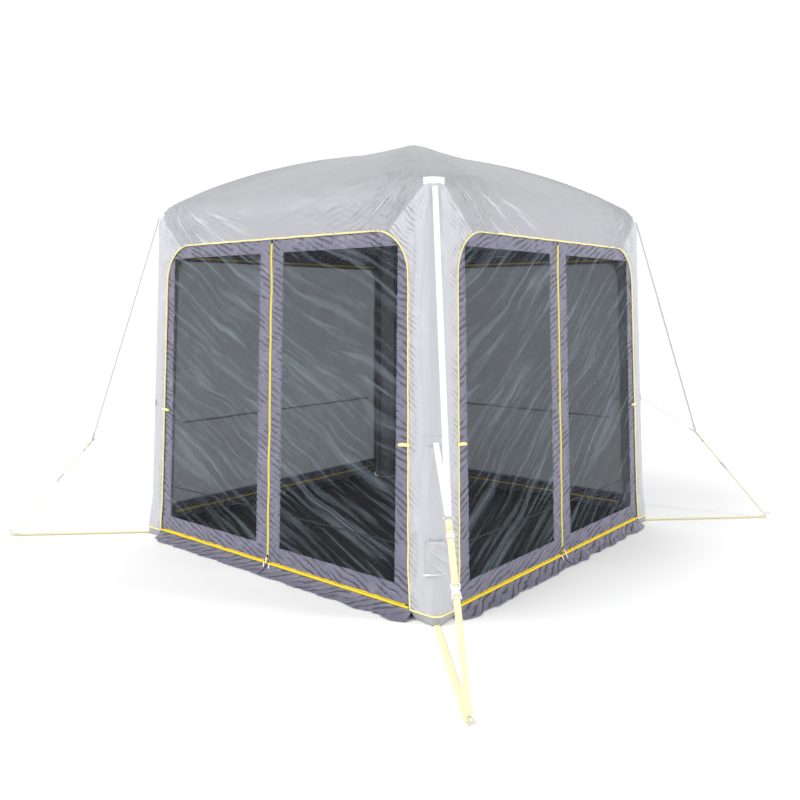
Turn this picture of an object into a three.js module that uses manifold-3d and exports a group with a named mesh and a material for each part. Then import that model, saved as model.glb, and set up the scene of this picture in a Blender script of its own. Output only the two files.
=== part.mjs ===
// Air-beam screen house: four inflated beams carry a square canopy with two mesh door walls,
// two plain walls, a groundsheet and four staked guy lines.
// Millimetres, +Z up, origin on the ground at the centre. The front wall faces -Y, the right wall +X.
import * as THREE from "three";
import { mergeVertices } from "three/addons/utils/BufferGeometryUtils.js";
import Module from "manifold-3d";

const wasm = await Module();
wasm.setup();

// Canopy.
const wallHalf = 1285; // centre to the outside of a wall, at the ground
const wallLean = 0.0158; // lean towards the centre, per millimetre of height
const cornerRadius = 95;
const eaveHeight = 2256;
const crownHeight = 2690;
const skin = 4;
const sleeveFoot = 45; // lower edge of the leg sleeves
const openingHalf = 1100;
const openingTop = 2000;
const openingRadius = 240;
const seamStart = 950; // where the seam between roof and leg sleeve leaves the top of the opening
const seamGap = 0.5;

// Air beams.
const beamRadius = 62.5;
const beamWall = 3;
const beamInset = 1205; // centre of a leg, along X and along Y
const beamDrop = 85; // centre of a beam below the ridge that it carries
const beamFoot = 20;
const bendSpan = 110; // straight beam lost to the shoulder bend, down the leg
const bendAcross = 1150; // where the bend ends on the roof
const shoulderOver = 25; // the bend aims at the ridge this far outside the leg
const mitreGap = 0.3;

// Valve on the front right beam.
const valveHeight = 330;
const valveSeat = 67.5; // underside of the flange from the beam's centre
const valveCapSeat = 78.5;
const valve = { stem: 16, stemDepth: 15, flange: 26, flangeThickness: 4, barrel: 20, overlap: 1 };
const valveCap = { radius: 23, thickness: 7, gap: 0.5, grip: { thickness: 5, width: 34, rise: 6 } };
const valveHole = { beam: 18, sleeve: 36 };

// Walls, in the wall's own frame: across, up the wall, and out from the canopy's outer face.
const sheet = 3;
const sheetFace = -5; // outer face of a wall sheet
const sheetHalf = 1130;
const sheetTop = 2060;
const skirtTop = 50;
const skirtReach = 70;
const skirtFold = { inner: 9, outer: 6.5, back: 2, front: 4 }; // how the skirt's section slopes
const wallSkirtLap = 2; // a plain wall's sheet runs down this far over its skirt
const doorFoot = 65;
const zipHalfGap = 8;
const zipTop = 1975;
const hingeTop = 1955; // upper end of the door's fold, at the centre zip
const hingeOut = 1085; // lower end of the fold, at the foot of the door
const hingeGap = 0.6;
const slider = { width: 12, length: 18, thickness: 11, nose: [3, 5] };
const centreSliderRest = 92;
const sideSliderRest = 24;

// Feet and groundsheet.
const footInner = 1105;
const footOuter = 1283;
const footHeight = 44.5;
const footFloor = 10;
const footRoundLess = 2; // the pocket's corner is this much tighter than the canopy's
const socketGap = 1.5;
const groundsheet = { half: 1275, notch: 1100, thickness: 2 };

// Guy lines, in the plane of each diagonal: distance from the centre and height.
const strap = { width: 30, thickness: 2 };
const shoulderTie = [1737, 2210];
const midLegTie = [1763, 910];
const footTie = [1778, 6];
const ringPlace = [2192, 645];
const ring = { width: 44, height: 30, wire: 2.6 };
const strapToRing = 19; // strap ends stop this far from the ring's centre
const peg = { out: 2732, wire: 3.5, guyHeight: 20, groundHeight: 7 };
const pegHead = [[0, 0], [0, 14], [1, 27], [8, 37], [18, 39], [27, 33], [30, 24]]; // out, up
const pegClear = 1;
const buckle = {
  along: 331, length: 62, width: 44, thickness: 12, slot: [31.5, 3.4],
  waistIn: 5, flare: 12, taper: 14,
};

const colours = {
  roof: [0xc5c6cb, 0.55, 0],
  sleeve: [0xd8d9dd, 0.55, 0],
  beam: [0xb9bcc0, 0.6, 0],
  foot: [0xb5b6ba, 0.65, 0],
  mesh: [0x4c5254, 0.8, 0],
  skirt: [0x7d7b96, 0.6, 0],
  wall: [0x8d9196, 0.7, 0],
  groundsheet: [0x3a3c40, 0.8, 0],
  slider: [0x2a2a2c, 0.4, 0.6],
  whiteWeb: [0xf3f4f7, 0.7, 0],
  yellowWeb: [0xf7f0c4, 0.7, 0],
  buckle: [0xe8eaee, 0.4, 0],
  steel: [0x9a9da0, 0.35, 0.9],
  valve: [0x55585c, 0.5, 0],
};

const house = new THREE.Group();

function addPart(parent, name, geometry, finish) {
  const [color, roughness, metalness] = colours[finish];
  const material = new THREE.MeshStandardMaterial({ color, roughness, metalness });
  const part = new THREE.Mesh(geometry, material);
  part.name = name;
  parent.add(part);
  return part;
}

function turned(degrees, parent = house) {
  const group = new THREE.Group();
  group.rotation.z = THREE.MathUtils.degToRad(degrees);
  parent.add(group);
  return group;
}

function toSolid(geometry) {
  const bare = geometry.clone();
  bare.deleteAttribute("normal");
  bare.deleteAttribute("uv");
  const merged = mergeVertices(bare, 1e-3);
  return new wasm.Manifold(
    new wasm.Mesh({
      numProp: 3,
      vertProperties: merged.attributes.position.array,
      triVerts: Uint32Array.from(merged.index.array),
    }),
  );
}

function toGeometry(solid) {
  const mesh = solid.getMesh();
  const geometry = new THREE.BufferGeometry();
  geometry.setAttribute("position", new THREE.BufferAttribute(mesh.vertProperties, 3));
  geometry.setIndex(new THREE.BufferAttribute(mesh.triVerts, 1));
  return geometry;
}

// The whole canopy narrows with height, so upright shapes are made first and then leant in.
function leanIn(geometry) {
  const place = geometry.attributes.position;
  for (let i = 0; i < place.count; i += 1) {
    const narrow = 1 - (wallLean * place.getZ(i)) / wallHalf;
    place.setXY(i, place.getX(i) * narrow, place.getY(i) * narrow);
  }
  return geometry;
}

function polygon(points) {
  return new THREE.Shape(points.map(([x, y]) => new THREE.Vector2(x, y)));
}

function rise(shape, bottom, top, curveSegments = 6) {
  const settings = { depth: top - bottom, bevelEnabled: false, curveSegments };
  return new THREE.ExtrudeGeometry(shape, settings).translate(0, 0, bottom);
}

// A shape drawn across and up the wall, from one depth to another. Outward is -Y.
function upright(shape, inner, outer, curveSegments = 6) {
  return rise(shape, inner, outer, curveSegments).rotateX(Math.PI / 2);
}

// A shape drawn outward and up, run along the wall to both sides of its centre.
function alongWall(shape, half) {
  const axes = [new THREE.Vector3(0, -1, 0), new THREE.Vector3(0, 0, 1), new THREE.Vector3(-1, 0, 0)];
  return rise(shape, -half, half).applyMatrix4(new THREE.Matrix4().makeBasis(...axes));
}

function roundedSquare(half, radius) {
  const shape = new THREE.Shape();
  const inset = half - radius;
  shape.absarc(inset, -inset, radius, -Math.PI / 2, 0);
  shape.absarc(inset, inset, radius, 0, Math.PI / 2);
  shape.absarc(-inset, inset, radius, Math.PI / 2, Math.PI);
  shape.absarc(-inset, -inset, radius, Math.PI, 1.5 * Math.PI);
  return shape;
}

// Roof: a square vault whose four sides are arcs that meet on the diagonals.
const domeRise = crownHeight - eaveHeight;
const domeRadius = (wallHalf ** 2 + domeRise ** 2) / (2 * domeRise);

function domeHeight(across) {
  return crownHeight - domeRadius + Math.sqrt(domeRadius ** 2 - across ** 2);
}

function vault(half, drop, bottom) {
  const arcSteps = 14;
  const outline = [[-half, bottom], [half, bottom]];
  for (let i = 0; i <= arcSteps; i += 1) {
    const across = half * Math.cos((Math.PI * i) / arcSteps);
    outline.push([across, domeHeight(across) - drop]);
  }
  const run = 2 * wallHalf;
  const along = toSolid(upright(polygon(outline), -run, run));
  const acrossIt = toSolid(upright(polygon(outline), -run, run).rotateZ(Math.PI / 2));
  const plan = toSolid(rise(roundedSquare(half, cornerRadius - drop), bottom, crownHeight + skin));
  return along.intersect(acrossIt).intersect(plan);
}

function openingShape() {
  const inset = openingHalf - openingRadius;
  const shape = new THREE.Shape();
  shape.moveTo(-openingHalf, 0);
  shape.lineTo(openingHalf, 0);
  shape.absarc(inset, openingTop - openingRadius, openingRadius, 0, Math.PI / 2);
  shape.absarc(-inset, openingTop - openingRadius, openingRadius, Math.PI / 2, Math.PI);
  return shape;
}

function canopySkin() {
  let solid = vault(wallHalf, 0, sleeveFoot).subtract(vault(wallHalf - skin, skin, 0));
  for (const degrees of [0, 90]) {
    const through = upright(openingShape(), -2 * wallHalf, 2 * wallHalf, 8);
    solid = solid.subtract(toSolid(through.rotateZ(THREE.MathUtils.degToRad(degrees))));
  }
  return solid;
}

// The corner of the canopy below the two slanting seams: everything that belongs to one leg sleeve.
function sleeveRegion(clearance) {
  const reach = wallHalf + 20;
  const shoulder = eaveHeight + 20;
  const below = openingTop - openingRadius;
  const slope = (shoulder - openingTop) / (wallHalf - seamStart);
  const shape = polygon([
    [openingHalf / 2, 0],
    [reach, 0],
    [reach, openingTop + slope * (reach - seamStart) + clearance],
    [seamStart, openingTop + clearance],
    [openingHalf / 2, below],
  ]);
  const frontFace = toSolid(upright(shape, 0, reach));
  const sideFace = toSolid(upright(shape, -reach, 0).rotateZ(-Math.PI / 2));
  return frontFace.intersect(sideFace);
}

const wholeSkin = canopySkin();
let roof = wholeSkin;
for (let k = 0; k < 4; k += 1) {
  roof = roof.subtract(sleeveRegion(seamGap).rotate([0, 0, 90 * k]));
}
addPart(house, "roof_canopy", leanIn(toGeometry(roof)), "roof");
const sleeve = wholeSkin.intersect(sleeveRegion(0));

// A sweep with one step from each knot to the next.
function sweep(section, knots) {
  const path = new THREE.CatmullRomCurve3(knots);
  path.getUtoTmapping = (u) => u;
  const settings = { steps: knots.length - 1, curveSegments: 6, extrudePath: path };
  return new THREE.ExtrudeGeometry(section, settings);
}

function disc(radius) {
  return new THREE.Shape().absarc(0, 0, radius, 0, 2 * Math.PI);
}

// Centre of a beam below the ridge, in the plane of the diagonal.
function archPoint(across) {
  const fall = across / Math.sqrt(domeRadius ** 2 - across ** 2) / Math.SQRT2;
  const outward = new THREE.Vector3(fall, 0, 1).normalize();
  const ridge = new THREE.Vector3(across * Math.SQRT2, 0, domeHeight(across));
  return ridge.addScaledVector(outward, -beamDrop);
}

function beamKnots(foot) {
  const leg = beamInset * Math.SQRT2;
  const shoulder = new THREE.Vector3(leg, 0, archPoint(beamInset + shoulderOver).z);
  const legTop = new THREE.Vector3(leg, 0, shoulder.z - bendSpan);
  const bend = new THREE.QuadraticBezierCurve3(legTop, shoulder, archPoint(bendAcross));
  const knots = [foot, 700, 1400].map((z) => new THREE.Vector3(leg, 0, z));
  knots.push(...bend.getPoints(5));
  const archSteps = 6;
  for (let i = 1; i <= archSteps; i += 1) {
    knots.push(archPoint(bendAcross * (1 - i / archSteps)));
  }
  knots.push(archPoint(-2 * beamRadius));
  return knots;
}

function airBeam() {
  const outside = toSolid(sweep(disc(beamRadius), beamKnots(beamFoot)));
  const inside = toSolid(sweep(disc(beamRadius - beamWall), beamKnots(beamFoot + beamWall)));
  const reach = 2 * wallHalf;
  const quarter = polygon([[mitreGap, 0], [reach, -reach + mitreGap], [reach, reach - mitreGap]]);
  return outside.subtract(inside).intersect(toSolid(rise(quarter, 0, crownHeight)));
}

function cylinderOutward(radius, from, to, height, sides = 24) {
  const geometry = new THREE.CylinderGeometry(radius, radius, to - from, sides).rotateZ(-Math.PI / 2);
  return geometry.translate((from + to) / 2, 0, height);
}

function flatSection(width, thickness) {
  const x = width / 2;
  const y = thickness / 2;
  const bevel = 0.4 * thickness;
  return polygon([
    [-x, -y + bevel], [-x + bevel, -y], [x - bevel, -y], [x, -y + bevel],
    [x, y - bevel], [x - bevel, y], [-x + bevel, y], [-x, y - bevel],
  ]);
}

function webbing(start, end) {
  const steps = 4;
  const knots = [];
  for (let i = 0; i <= steps; i += 1) {
    const [x, z] = [0, 1].map((axis) => THREE.MathUtils.lerp(start[axis], end[axis], i / steps));
    knots.push(new THREE.Vector3(x, 0, z));
  }
  return sweep(flatSection(strap.width, strap.thickness), knots);
}

// A point a given distance along the line from one place to another.
function towards(from, to, distance) {
  const run = Math.hypot(to[0] - from[0], to[1] - from[1]);
  return [0, 1].map((axis) => from[axis] + ((to[axis] - from[axis]) * distance) / run);
}

const guyEnd = [peg.out - peg.wire - pegClear, peg.guyHeight];
const guyFall = Math.atan2(ringPlace[1] - guyEnd[1], guyEnd[0] - ringPlace[0]);

// Shapes that lie along the guy line: their own X runs down the strap, their own Y across it.
function placeOnGuy(geometry, along) {
  const [x, z] = towards(ringPlace, guyEnd, along);
  return geometry.rotateY(guyFall).translate(x, 0, z);
}

function adjusterBuckle() {
  const { length, width, thickness, slot } = buckle;
  const waist = width / 2 - buckle.waistIn;
  const half = [
    [-length / 2, waist],
    [-length / 2 + buckle.flare, width / 2],
    [length / 2 - buckle.taper, waist],
    [length / 2, width / 2],
  ];
  const outline = polygon([...half.map(([x, y]) => [x, -y]), ...half.reverse()]);
  const body = toSolid(rise(outline, -thickness / 2, thickness / 2));
  const slit = toSolid(new THREE.BoxGeometry(2 * length, slot[0], slot[1]));
  return toGeometry(body.subtract(slit));
}

function pegHook() {
  const path = pegHead.map(([out, up]) => new THREE.Vector3(peg.out + out, 0, up));
  return sweep(disc(peg.wire), path);
}

function addGuyLine(diagonal, corner) {
  const atRing = (end) => towards(ringPlace, end, strapToRing);
  const lines = {
    [`shoulder_strap_${corner}`]: [shoulderTie, atRing(shoulderTie), "whiteWeb"],
    [`leg_strap_${corner}`]: [midLegTie, atRing(midLegTie), "whiteWeb"],
    [`guy_strap_${corner}`]: [atRing(guyEnd), guyEnd, "yellowWeb"],
    [`ground_strap_${corner}`]: [footTie, [guyEnd[0], peg.groundHeight], "yellowWeb"],
  };
  for (const [name, [start, end, finish]] of Object.entries(lines)) {
    addPart(diagonal, name, webbing(start, end), finish);
  }
  const loop = new THREE.TorusGeometry(ring.width / 2 - ring.wire, ring.wire, 8, 20);
  loop.scale(ring.height / ring.width, 1, 1);
  addPart(diagonal, `guy_ring_${corner}`, placeOnGuy(loop, 0), "steel");
  addPart(diagonal, `guy_buckle_${corner}`, placeOnGuy(adjusterBuckle(), buckle.along), "buckle");
  addPart(diagonal, `ground_peg_${corner}`, pegHook(), "steel");
}

function footPocket() {
  const shape = new THREE.Shape();
  const radius = cornerRadius - footRoundLess;
  const inset = footOuter - radius;
  shape.moveTo(footInner, -footInner);
  shape.lineTo(footInner, -footOuter);
  shape.absarc(inset, -inset, radius, -Math.PI / 2, 0);
  shape.lineTo(footOuter, -footInner);
  const block = toSolid(rise(shape, 0, footHeight));
  const bore = beamRadius + socketGap;
  const socket = new THREE.CylinderGeometry(bore, bore, footHeight, 24).rotateX(Math.PI / 2);
  socket.translate(beamInset, -beamInset, footFloor + footHeight / 2);
  return toGeometry(block.subtract(toSolid(socket)));
}

// Valve body and cap turn about the diagonal, so both are drawn outward from the beam's centre.
function addValve(diagonal) {
  const leg = beamInset * Math.SQRT2 * (1 - (wallLean * valveHeight) / wallHalf);
  const seat = leg + valveSeat;
  const capSeat = leg + valveCapSeat;
  const capTop = capSeat + valveCap.thickness;
  const turnedPiece = (radius, from, to) => toSolid(cylinderOutward(radius, from, to, valveHeight));
  const flangeTop = seat + valve.flangeThickness;
  const stem = turnedPiece(valve.stem, leg + beamRadius - valve.stemDepth, seat + valve.overlap);
  const flange = turnedPiece(valve.flange, seat, flangeTop);
  const barrel = turnedPiece(valve.barrel, flangeTop - valve.overlap, capSeat - valveCap.gap);
  addPart(diagonal, "inflation_valve", toGeometry(stem.add(flange).add(barrel)), "valve");
  const { thickness, width, rise: gripRise } = valveCap.grip;
  const cap = turnedPiece(valveCap.radius, capSeat, capTop);
  const grip = new THREE.BoxGeometry(gripRise, width, thickness);
  grip.translate(capTop + gripRise / 2 - 2 * valve.overlap, 0, valveHeight);
  addPart(diagonal, "valve_cap", toGeometry(cap.add(toSolid(grip))), "valve");
}

const cornerNames = ["front_right", "back_right", "back_left", "front_left"];
cornerNames.forEach((corner, k) => {
  const square = turned(90 * k);
  const diagonal = turned(-45, square);
  const hasValve = k === 0;
  let beam = airBeam();
  let cover = sleeve;
  if (hasValve) {
    const leg = beamInset * Math.SQRT2;
    const hole = (radius) => toSolid(cylinderOutward(radius, leg, leg + 2 * beamRadius, valveHeight));
    beam = beam.subtract(hole(valveHole.beam));
    cover = cover.subtract(hole(valveHole.sleeve).rotate([0, 0, -45]));
    addValve(diagonal);
  }
  addPart(diagonal, `air_beam_${corner}`, leanIn(toGeometry(beam)), "beam");
  addPart(square, `leg_sleeve_${corner}`, leanIn(toGeometry(cover)), "sleeve");
  addPart(square, `foot_pocket_${corner}`, leanIn(footPocket()), "foot");
  addGuyLine(diagonal, corner);
});

// Walls.
const foldRun = Math.hypot(hingeOut - zipHalfGap, hingeTop - doorFoot);
const foldRise = (hingeGap * foldRun) / (hingeOut - zipHalfGap);
const foldSlope = (hingeOut - zipHalfGap) / (hingeTop - doorFoot);

function doorFrameShape() {
  const foot = zipHalfGap + (hingeTop + foldRise - skirtTop) * foldSlope;
  const half = [
    [zipHalfGap, zipTop], [zipHalfGap, hingeTop + foldRise], [foot, skirtTop],
    [sheetHalf, skirtTop], [sheetHalf, sheetTop],
  ];
  const mirrored = half.map(([x, y]) => [-x, y]).reverse();
  return polygon([...half, ...mirrored]);
}

function doorLeafShape(side) {
  const top = hingeTop - foldRise;
  const foot = zipHalfGap + (top - doorFoot) * foldSlope;
  return polygon([[zipHalfGap * side, doorFoot], [foot * side, doorFoot], [zipHalfGap * side, top]]);
}

function skirtShape() {
  const inner = sheetFace - sheet;
  return polygon([
    [inner, skirtTop],
    [inner, skirtTop - skirtFold.inner],
    [skirtReach - skirtFold.back, 0],
    [skirtReach + skirtFold.front, 0],
    [sheetFace, skirtTop - skirtFold.outer],
    [sheetFace, skirtTop],
  ]);
}

function sliderShape(across, up, lying) {
  const half = slider.width / 2;
  const reach = slider.length / 2;
  const [noseIn, noseUp] = slider.nose;
  const outline = [
    [-half, -reach + noseUp],
    [-half + noseIn, -reach],
    [half - noseIn, -reach],
    [half, -reach + noseUp],
    [half, reach],
    [-half, reach],
  ];
  return polygon(outline.map(([x, y]) => (lying ? [across + y, up - x] : [across + x, up + y])));
}

function wallFrame(k) {
  const tilted = new THREE.Group();
  tilted.position.y = -wallHalf;
  tilted.rotation.x = -Math.atan(wallLean);
  turned(90 * k).add(tilted);
  return tilted;
}

function addSlider(wall, name, across, up, lying) {
  const middle = sheetFace - sheet / 2;
  const half = slider.thickness / 2;
  const body = upright(sliderShape(across, up, lying), middle - half, middle + half);
  addPart(wall, name, body, "slider");
}

function addMeshWall(wall, name) {
  const inner = sheetFace - sheet;
  addPart(wall, `${name}_door_frame`, upright(doorFrameShape(), inner, sheetFace), "mesh");
  for (const [side, hand] of [[-1, "left"], [1, "right"]]) {
    const shape = doorLeafShape(side);
    addPart(wall, `${name}_door_leaf_${hand}`, upright(shape, inner, sheetFace), "mesh");
    const rest = side * sideSliderRest;
    addSlider(wall, `${name}_foot_slider_${hand}`, rest, (doorFoot + skirtTop) / 2, true);
  }
  addSlider(wall, `${name}_centre_slider`, 0, centreSliderRest, false);
  addPart(wall, `${name}_skirt`, alongWall(skirtShape(), openingHalf), "skirt");
}

function addPlainWall(wall, name) {
  const foot = skirtTop - wallSkirtLap;
  const panel = polygon([
    [-sheetHalf, foot],
    [sheetHalf, foot],
    [sheetHalf, sheetTop],
    [-sheetHalf, sheetTop],
  ]);
  const curtain = toSolid(upright(panel, sheetFace - sheet, sheetFace));
  const flap = toSolid(alongWall(skirtShape(), openingHalf));
  addPart(wall, `${name}_wall`, toGeometry(curtain.add(flap)), "wall");
}

addMeshWall(wallFrame(0), "front");
addMeshWall(wallFrame(1), "right");
addPlainWall(wallFrame(2), "back");
addPlainWall(wallFrame(3), "left");

function groundsheetShape() {
  const { half, notch } = groundsheet;
  const quarter = [[half, -notch], [half, notch], [notch, notch]];
  const centre = new THREE.Vector2();
  const outline = [];
  for (let k = 0; k < 4; k += 1) {
    const turn = (k * Math.PI) / 2;
    for (const [x, y] of quarter) {
      outline.push(new THREE.Vector2(x, y).rotateAround(centre, turn));
    }
  }
  return new THREE.Shape(outline);
}

addPart(house, "groundsheet", rise(groundsheetShape(), 0, groundsheet.thickness), "groundsheet");

export default house;
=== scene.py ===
"""Air-beam screen house: fabrics, webbing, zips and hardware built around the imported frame."""

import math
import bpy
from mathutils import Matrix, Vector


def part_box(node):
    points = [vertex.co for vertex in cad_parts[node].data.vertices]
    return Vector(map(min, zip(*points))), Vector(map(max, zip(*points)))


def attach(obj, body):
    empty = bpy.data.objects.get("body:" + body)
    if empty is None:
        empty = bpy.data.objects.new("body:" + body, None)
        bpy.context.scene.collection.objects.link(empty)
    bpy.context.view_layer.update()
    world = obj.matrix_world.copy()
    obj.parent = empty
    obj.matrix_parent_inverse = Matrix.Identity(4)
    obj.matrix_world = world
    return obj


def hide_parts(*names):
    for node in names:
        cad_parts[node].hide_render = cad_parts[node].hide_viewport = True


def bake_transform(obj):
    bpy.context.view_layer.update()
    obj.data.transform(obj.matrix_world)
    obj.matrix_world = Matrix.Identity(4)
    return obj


bl_info = {
    "name": "Air-Beam Screen House",
    "version": (1, 0, 0),
    "blender": (4, 5, 0),
    "location": "View3D > Sidebar > Screen House",
    "description": "Builds the fabrics, webbing, zips and hardware of an inflatable screen house",
    "category": "Add Mesh",
}

import bmesh
import bpy
import numpy as np
from bpy.props import FloatProperty, FloatVectorProperty, PointerProperty
from mathutils import Matrix, Vector

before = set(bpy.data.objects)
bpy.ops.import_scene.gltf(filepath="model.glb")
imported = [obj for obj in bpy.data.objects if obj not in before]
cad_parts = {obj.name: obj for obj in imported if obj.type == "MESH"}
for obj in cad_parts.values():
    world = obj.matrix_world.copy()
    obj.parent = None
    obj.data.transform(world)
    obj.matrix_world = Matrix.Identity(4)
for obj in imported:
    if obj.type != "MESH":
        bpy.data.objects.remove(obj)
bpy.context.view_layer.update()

MM = 0.001
SIDES = ("front", "right", "back", "left")
CORNERS = ("front_right", "back_right", "back_left", "front_left")
MESH_SIDES = (0, 1)
PLAIN_SIDES = (2, 3)

# Canopy, as in the frame: metres, walls leaning in with height.
WALL_HALF = 1.285
LEAN = 0.0158
CORNER_RADIUS = 0.095
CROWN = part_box("roof_canopy")[1].z
EAVE = 2.256
OPENING_HALF = 1.1
OPENING_TOP = 2.0
OPENING_RADIUS = 0.24
SLEEVE_FOOT = 0.045
SEAM_START = 0.945
SEAM_SHOULDER = 2.276

# Walls.
SHEET_FACE = -0.0055
SHEET_HALF = 1.13
SHEET_TOP = 2.06
DOOR_FOOT = 0.065
ZIP_GAP = 0.0085
SKIRT_TOP = 0.05
PANE_INNER = 0.105
PANE_OUTER = 1.0
PANE_FOOT = 0.16
PANE_TOP = 1.915
FOLD_TOP = (0.008, 1.955)
FOLD_FOOT = (1.085, DOOR_FOOT)
PANE_TAPE_HEIGHT = 0.365
FOOT_ZIP_HEIGHT = 0.0632
WALL_ZIP_HEIGHTS = (0.1, 1.94)
WALL_SEAM_HEIGHT = 0.74

# Air beams.
BEAM_RADIUS = 0.0625
BEAM_INSET = 1.205
BEAM_DROP = 0.085

# Guy lines, in the plane of each diagonal: distance from the centre and height.
SHOULDER_TIE = (1.737, 2.210)
MID_LEG_TIE = (1.763, 0.910)
FOOT_TIE = (1.778, 0.006)
RING_PLACE = (2.192, 0.645)
GUY_END = (2.7275, 0.020)
GROUND_END = (2.7275, 0.007)
RING_GAP = 0.019
RING_BEND = 0.0115
RING_WIRE = 0.006
KEEPER_ALONG = 0.085
BUCKLE_ALONG = 0.331
PEG_OUT = 2.732
PEG_WIRE = 0.007
STRAP_LENGTHS = {"shoulder_strap": 1.611, "leg_strap": 0.485, "guy_strap": 0.804, "ground_strap": 0.950}

# Flat sizes of the sheets, and their cut areas where they aren't plain rectangles.
GROUND_FLAT, GROUND_AREA = (2.556, 2.556), 6.41

# Heights up the skin of the legs.
SHOULDER_BAND_UP = 2.237
LEG_PATCH_UP = 0.915
TIE_BACK_UP = 0.88
VALVE_FLAP_UP = 0.335

# Camera: degrees round from the front and down from straight up, then metres out, aside and up.
CAMERA_TURN = 40.03
CAMERA_TILT = 90.585
CAMERA_OUT = 5.78
CAMERA_ASIDE = 0.028
CAMERA_UP = 1.613
CAMERA_LENS = 35.87
CAMERA_SHIFT = -0.1316


def linear(hex_text):
    """Linear RGB of an sRGB hex colour."""
    channels = [int(hex_text[i : i + 2], 16) / 255 for i in (1, 3, 5)]
    return [c / 12.92 if c <= 0.04045 else ((c + 0.055) / 1.055) ** 2.4 for c in channels]


def colour_property(name, description, hex_text):
    return FloatVectorProperty(
        name=name, description=description, default=linear(hex_text), subtype="COLOR", min=0, max=1
    )


def size_property(name, description, default):
    return FloatProperty(name=name, description=description, default=default, unit="LENGTH", min=0)


class ScreenHouseSizes(bpy.types.PropertyGroup):
    """Sizes of the cloth work that a user would change."""

    eave_round: size_property("Eave rounding", "Radius between the walls and the roof", 0.22)
    roof_sag: size_property("Roof sag", "How far a roof panel hangs between its ridges", 0.022)
    roof_crease: size_property("Roof creases", "Height of the tension creases in the roof", 0.013)
    sleeve_crease: size_property("Sleeve gathers", "Height of the gathers beside the piping", 0.0055)
    border_crease: size_property("Border gathers", "Height of the gathers in the door borders", 0.0055)
    pane_crease: size_property("Mesh folds", "Height of the slanting folds in the mesh", 0.010)
    piping: size_property("Piping", "Diameter of the piping round the openings", 0.0105)
    webbing: size_property("Webbing width", "Width of the guy webbing", 0.03)
    webbing_thick: size_property("Webbing thickness", "Thickness of the guy webbing", 0.002)
    skirt_reach: size_property("Skirt reach", "How far the skirts spread on the ground", 0.07)


class ScreenHouseColours(bpy.types.PropertyGroup):
    """Colours of the finishes."""

    roof: colour_property("Roof", "Coated roof cloth", "#AEAFB4")
    sleeve: colour_property("Sleeves", "Coated leg cloth", "#C4C5CA")
    foot: colour_property("Feet", "Foot caps", "#A9AAAE")
    border: colour_property("Borders", "Door borders and skirts", "#7A798D")
    mesh: colour_property("Mesh", "Insect mesh", "#30363A")
    wall: colour_property("Plain walls", "Plain wall cloth", "#D2D6DA")
    floor: colour_property("Groundsheet", "Groundsheet cloth", "#1F2023")
    beam: colour_property("Beam covers", "Sleeves round the inflated tubes", "#B4B9C0")
    zip: colour_property("Zips", "Zip tape and teeth", "#FFEE55")
    foot_zip: colour_property("Foot zips", "Cover of the zip along the foot of the doors", "#FFDE18")
    piping: colour_property("Piping", "Piping round the openings", "#FBEDA6")
    white_web: colour_property("White webbing", "Upper guy webbing", "#F1F2F5")
    yellow_web: colour_property("Yellow webbing", "Lower guy webbing", "#F9F2C2")
    buckle: colour_property("Buckles", "Moulded buckles and keepers", "#E4E6EA")
    metal: colour_property("Metal", "Rings and pegs", "#D6D8DB")
    slider: colour_property("Sliders", "Painted zip sliders", "#1C1C1E")
    valve: colour_property("Valve", "Moulded valve", "#4A4D52")


def sizes():
    return bpy.context.scene.screen_house_sizes


def colours():
    return bpy.context.scene.screen_house_colours


# ---------------------------------------------------------------- places on the canopy


def turned(side, x, y, z):
    """Points of the front side turned to another side of the house."""
    angle = side * math.pi / 2
    c, s = math.cos(angle), math.sin(angle)
    return np.stack([x * c - y * s, x * s + y * c, z + 0 * x], axis=-1)


def leant(points):
    """The canopy narrows towards its top."""
    narrow = 1 - LEAN * points[..., 2:] / WALL_HALF
    return np.concatenate([points[..., :2] * narrow, points[..., 2:]], axis=-1)


DOME_RADIUS = (WALL_HALF**2 + (CROWN - EAVE) ** 2) / (2 * (CROWN - EAVE))
DOME_CENTRE = CROWN - DOME_RADIUS


class EaveArc:
    """The arc that rounds the eave: where it starts up the wall and where it runs into the roof."""

    def __init__(self, radius):
        self.radius = radius
        self.out = WALL_HALF - radius
        rise = math.sqrt((DOME_RADIUS - radius) ** 2 - self.out**2)
        self.height = DOME_CENTRE + rise
        self.turn = math.atan2(self.out, rise)
        self.end = self.height + radius * (math.pi / 2 - self.turn)
        self.crown = self.end + DOME_RADIUS * self.turn


def profile(up):
    """Distance out and height of the skin, a given way up along it from the ground."""
    arc = EaveArc(sizes().eave_round)
    on_arc = np.clip((up - arc.height) / arc.radius, 0, math.pi / 2 - arc.turn)
    on_dome = arc.turn - np.clip((up - arc.end) / DOME_RADIUS, 0, arc.turn)
    arc_out = arc.out + arc.radius * np.cos(on_arc)
    arc_up = arc.height + arc.radius * np.sin(on_arc)
    out = np.where(up < arc.end, arc_out, DOME_RADIUS * np.sin(on_dome))
    height = np.where(up < arc.end, arc_up, DOME_CENTRE + DOME_RADIUS * np.cos(on_dome))
    return out, np.where(up < arc.height, up, height)


def corner_radius(out, height):
    """Radius of the corners in plan: tight at the foot, and never wider than the roof allows."""
    return np.minimum(CORNER_RADIUS * (0.4 + 0.6 * smooth(height, 0.02, 0.3)), 0.6 * out)


def half_run(out, radius):
    """From the middle of a side to the middle of its corner, along the skin."""
    return out - radius + radius * math.pi / 4


WALL_RUN = WALL_HALF - CORNER_RADIUS + CORNER_RADIUS * math.pi / 4


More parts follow.
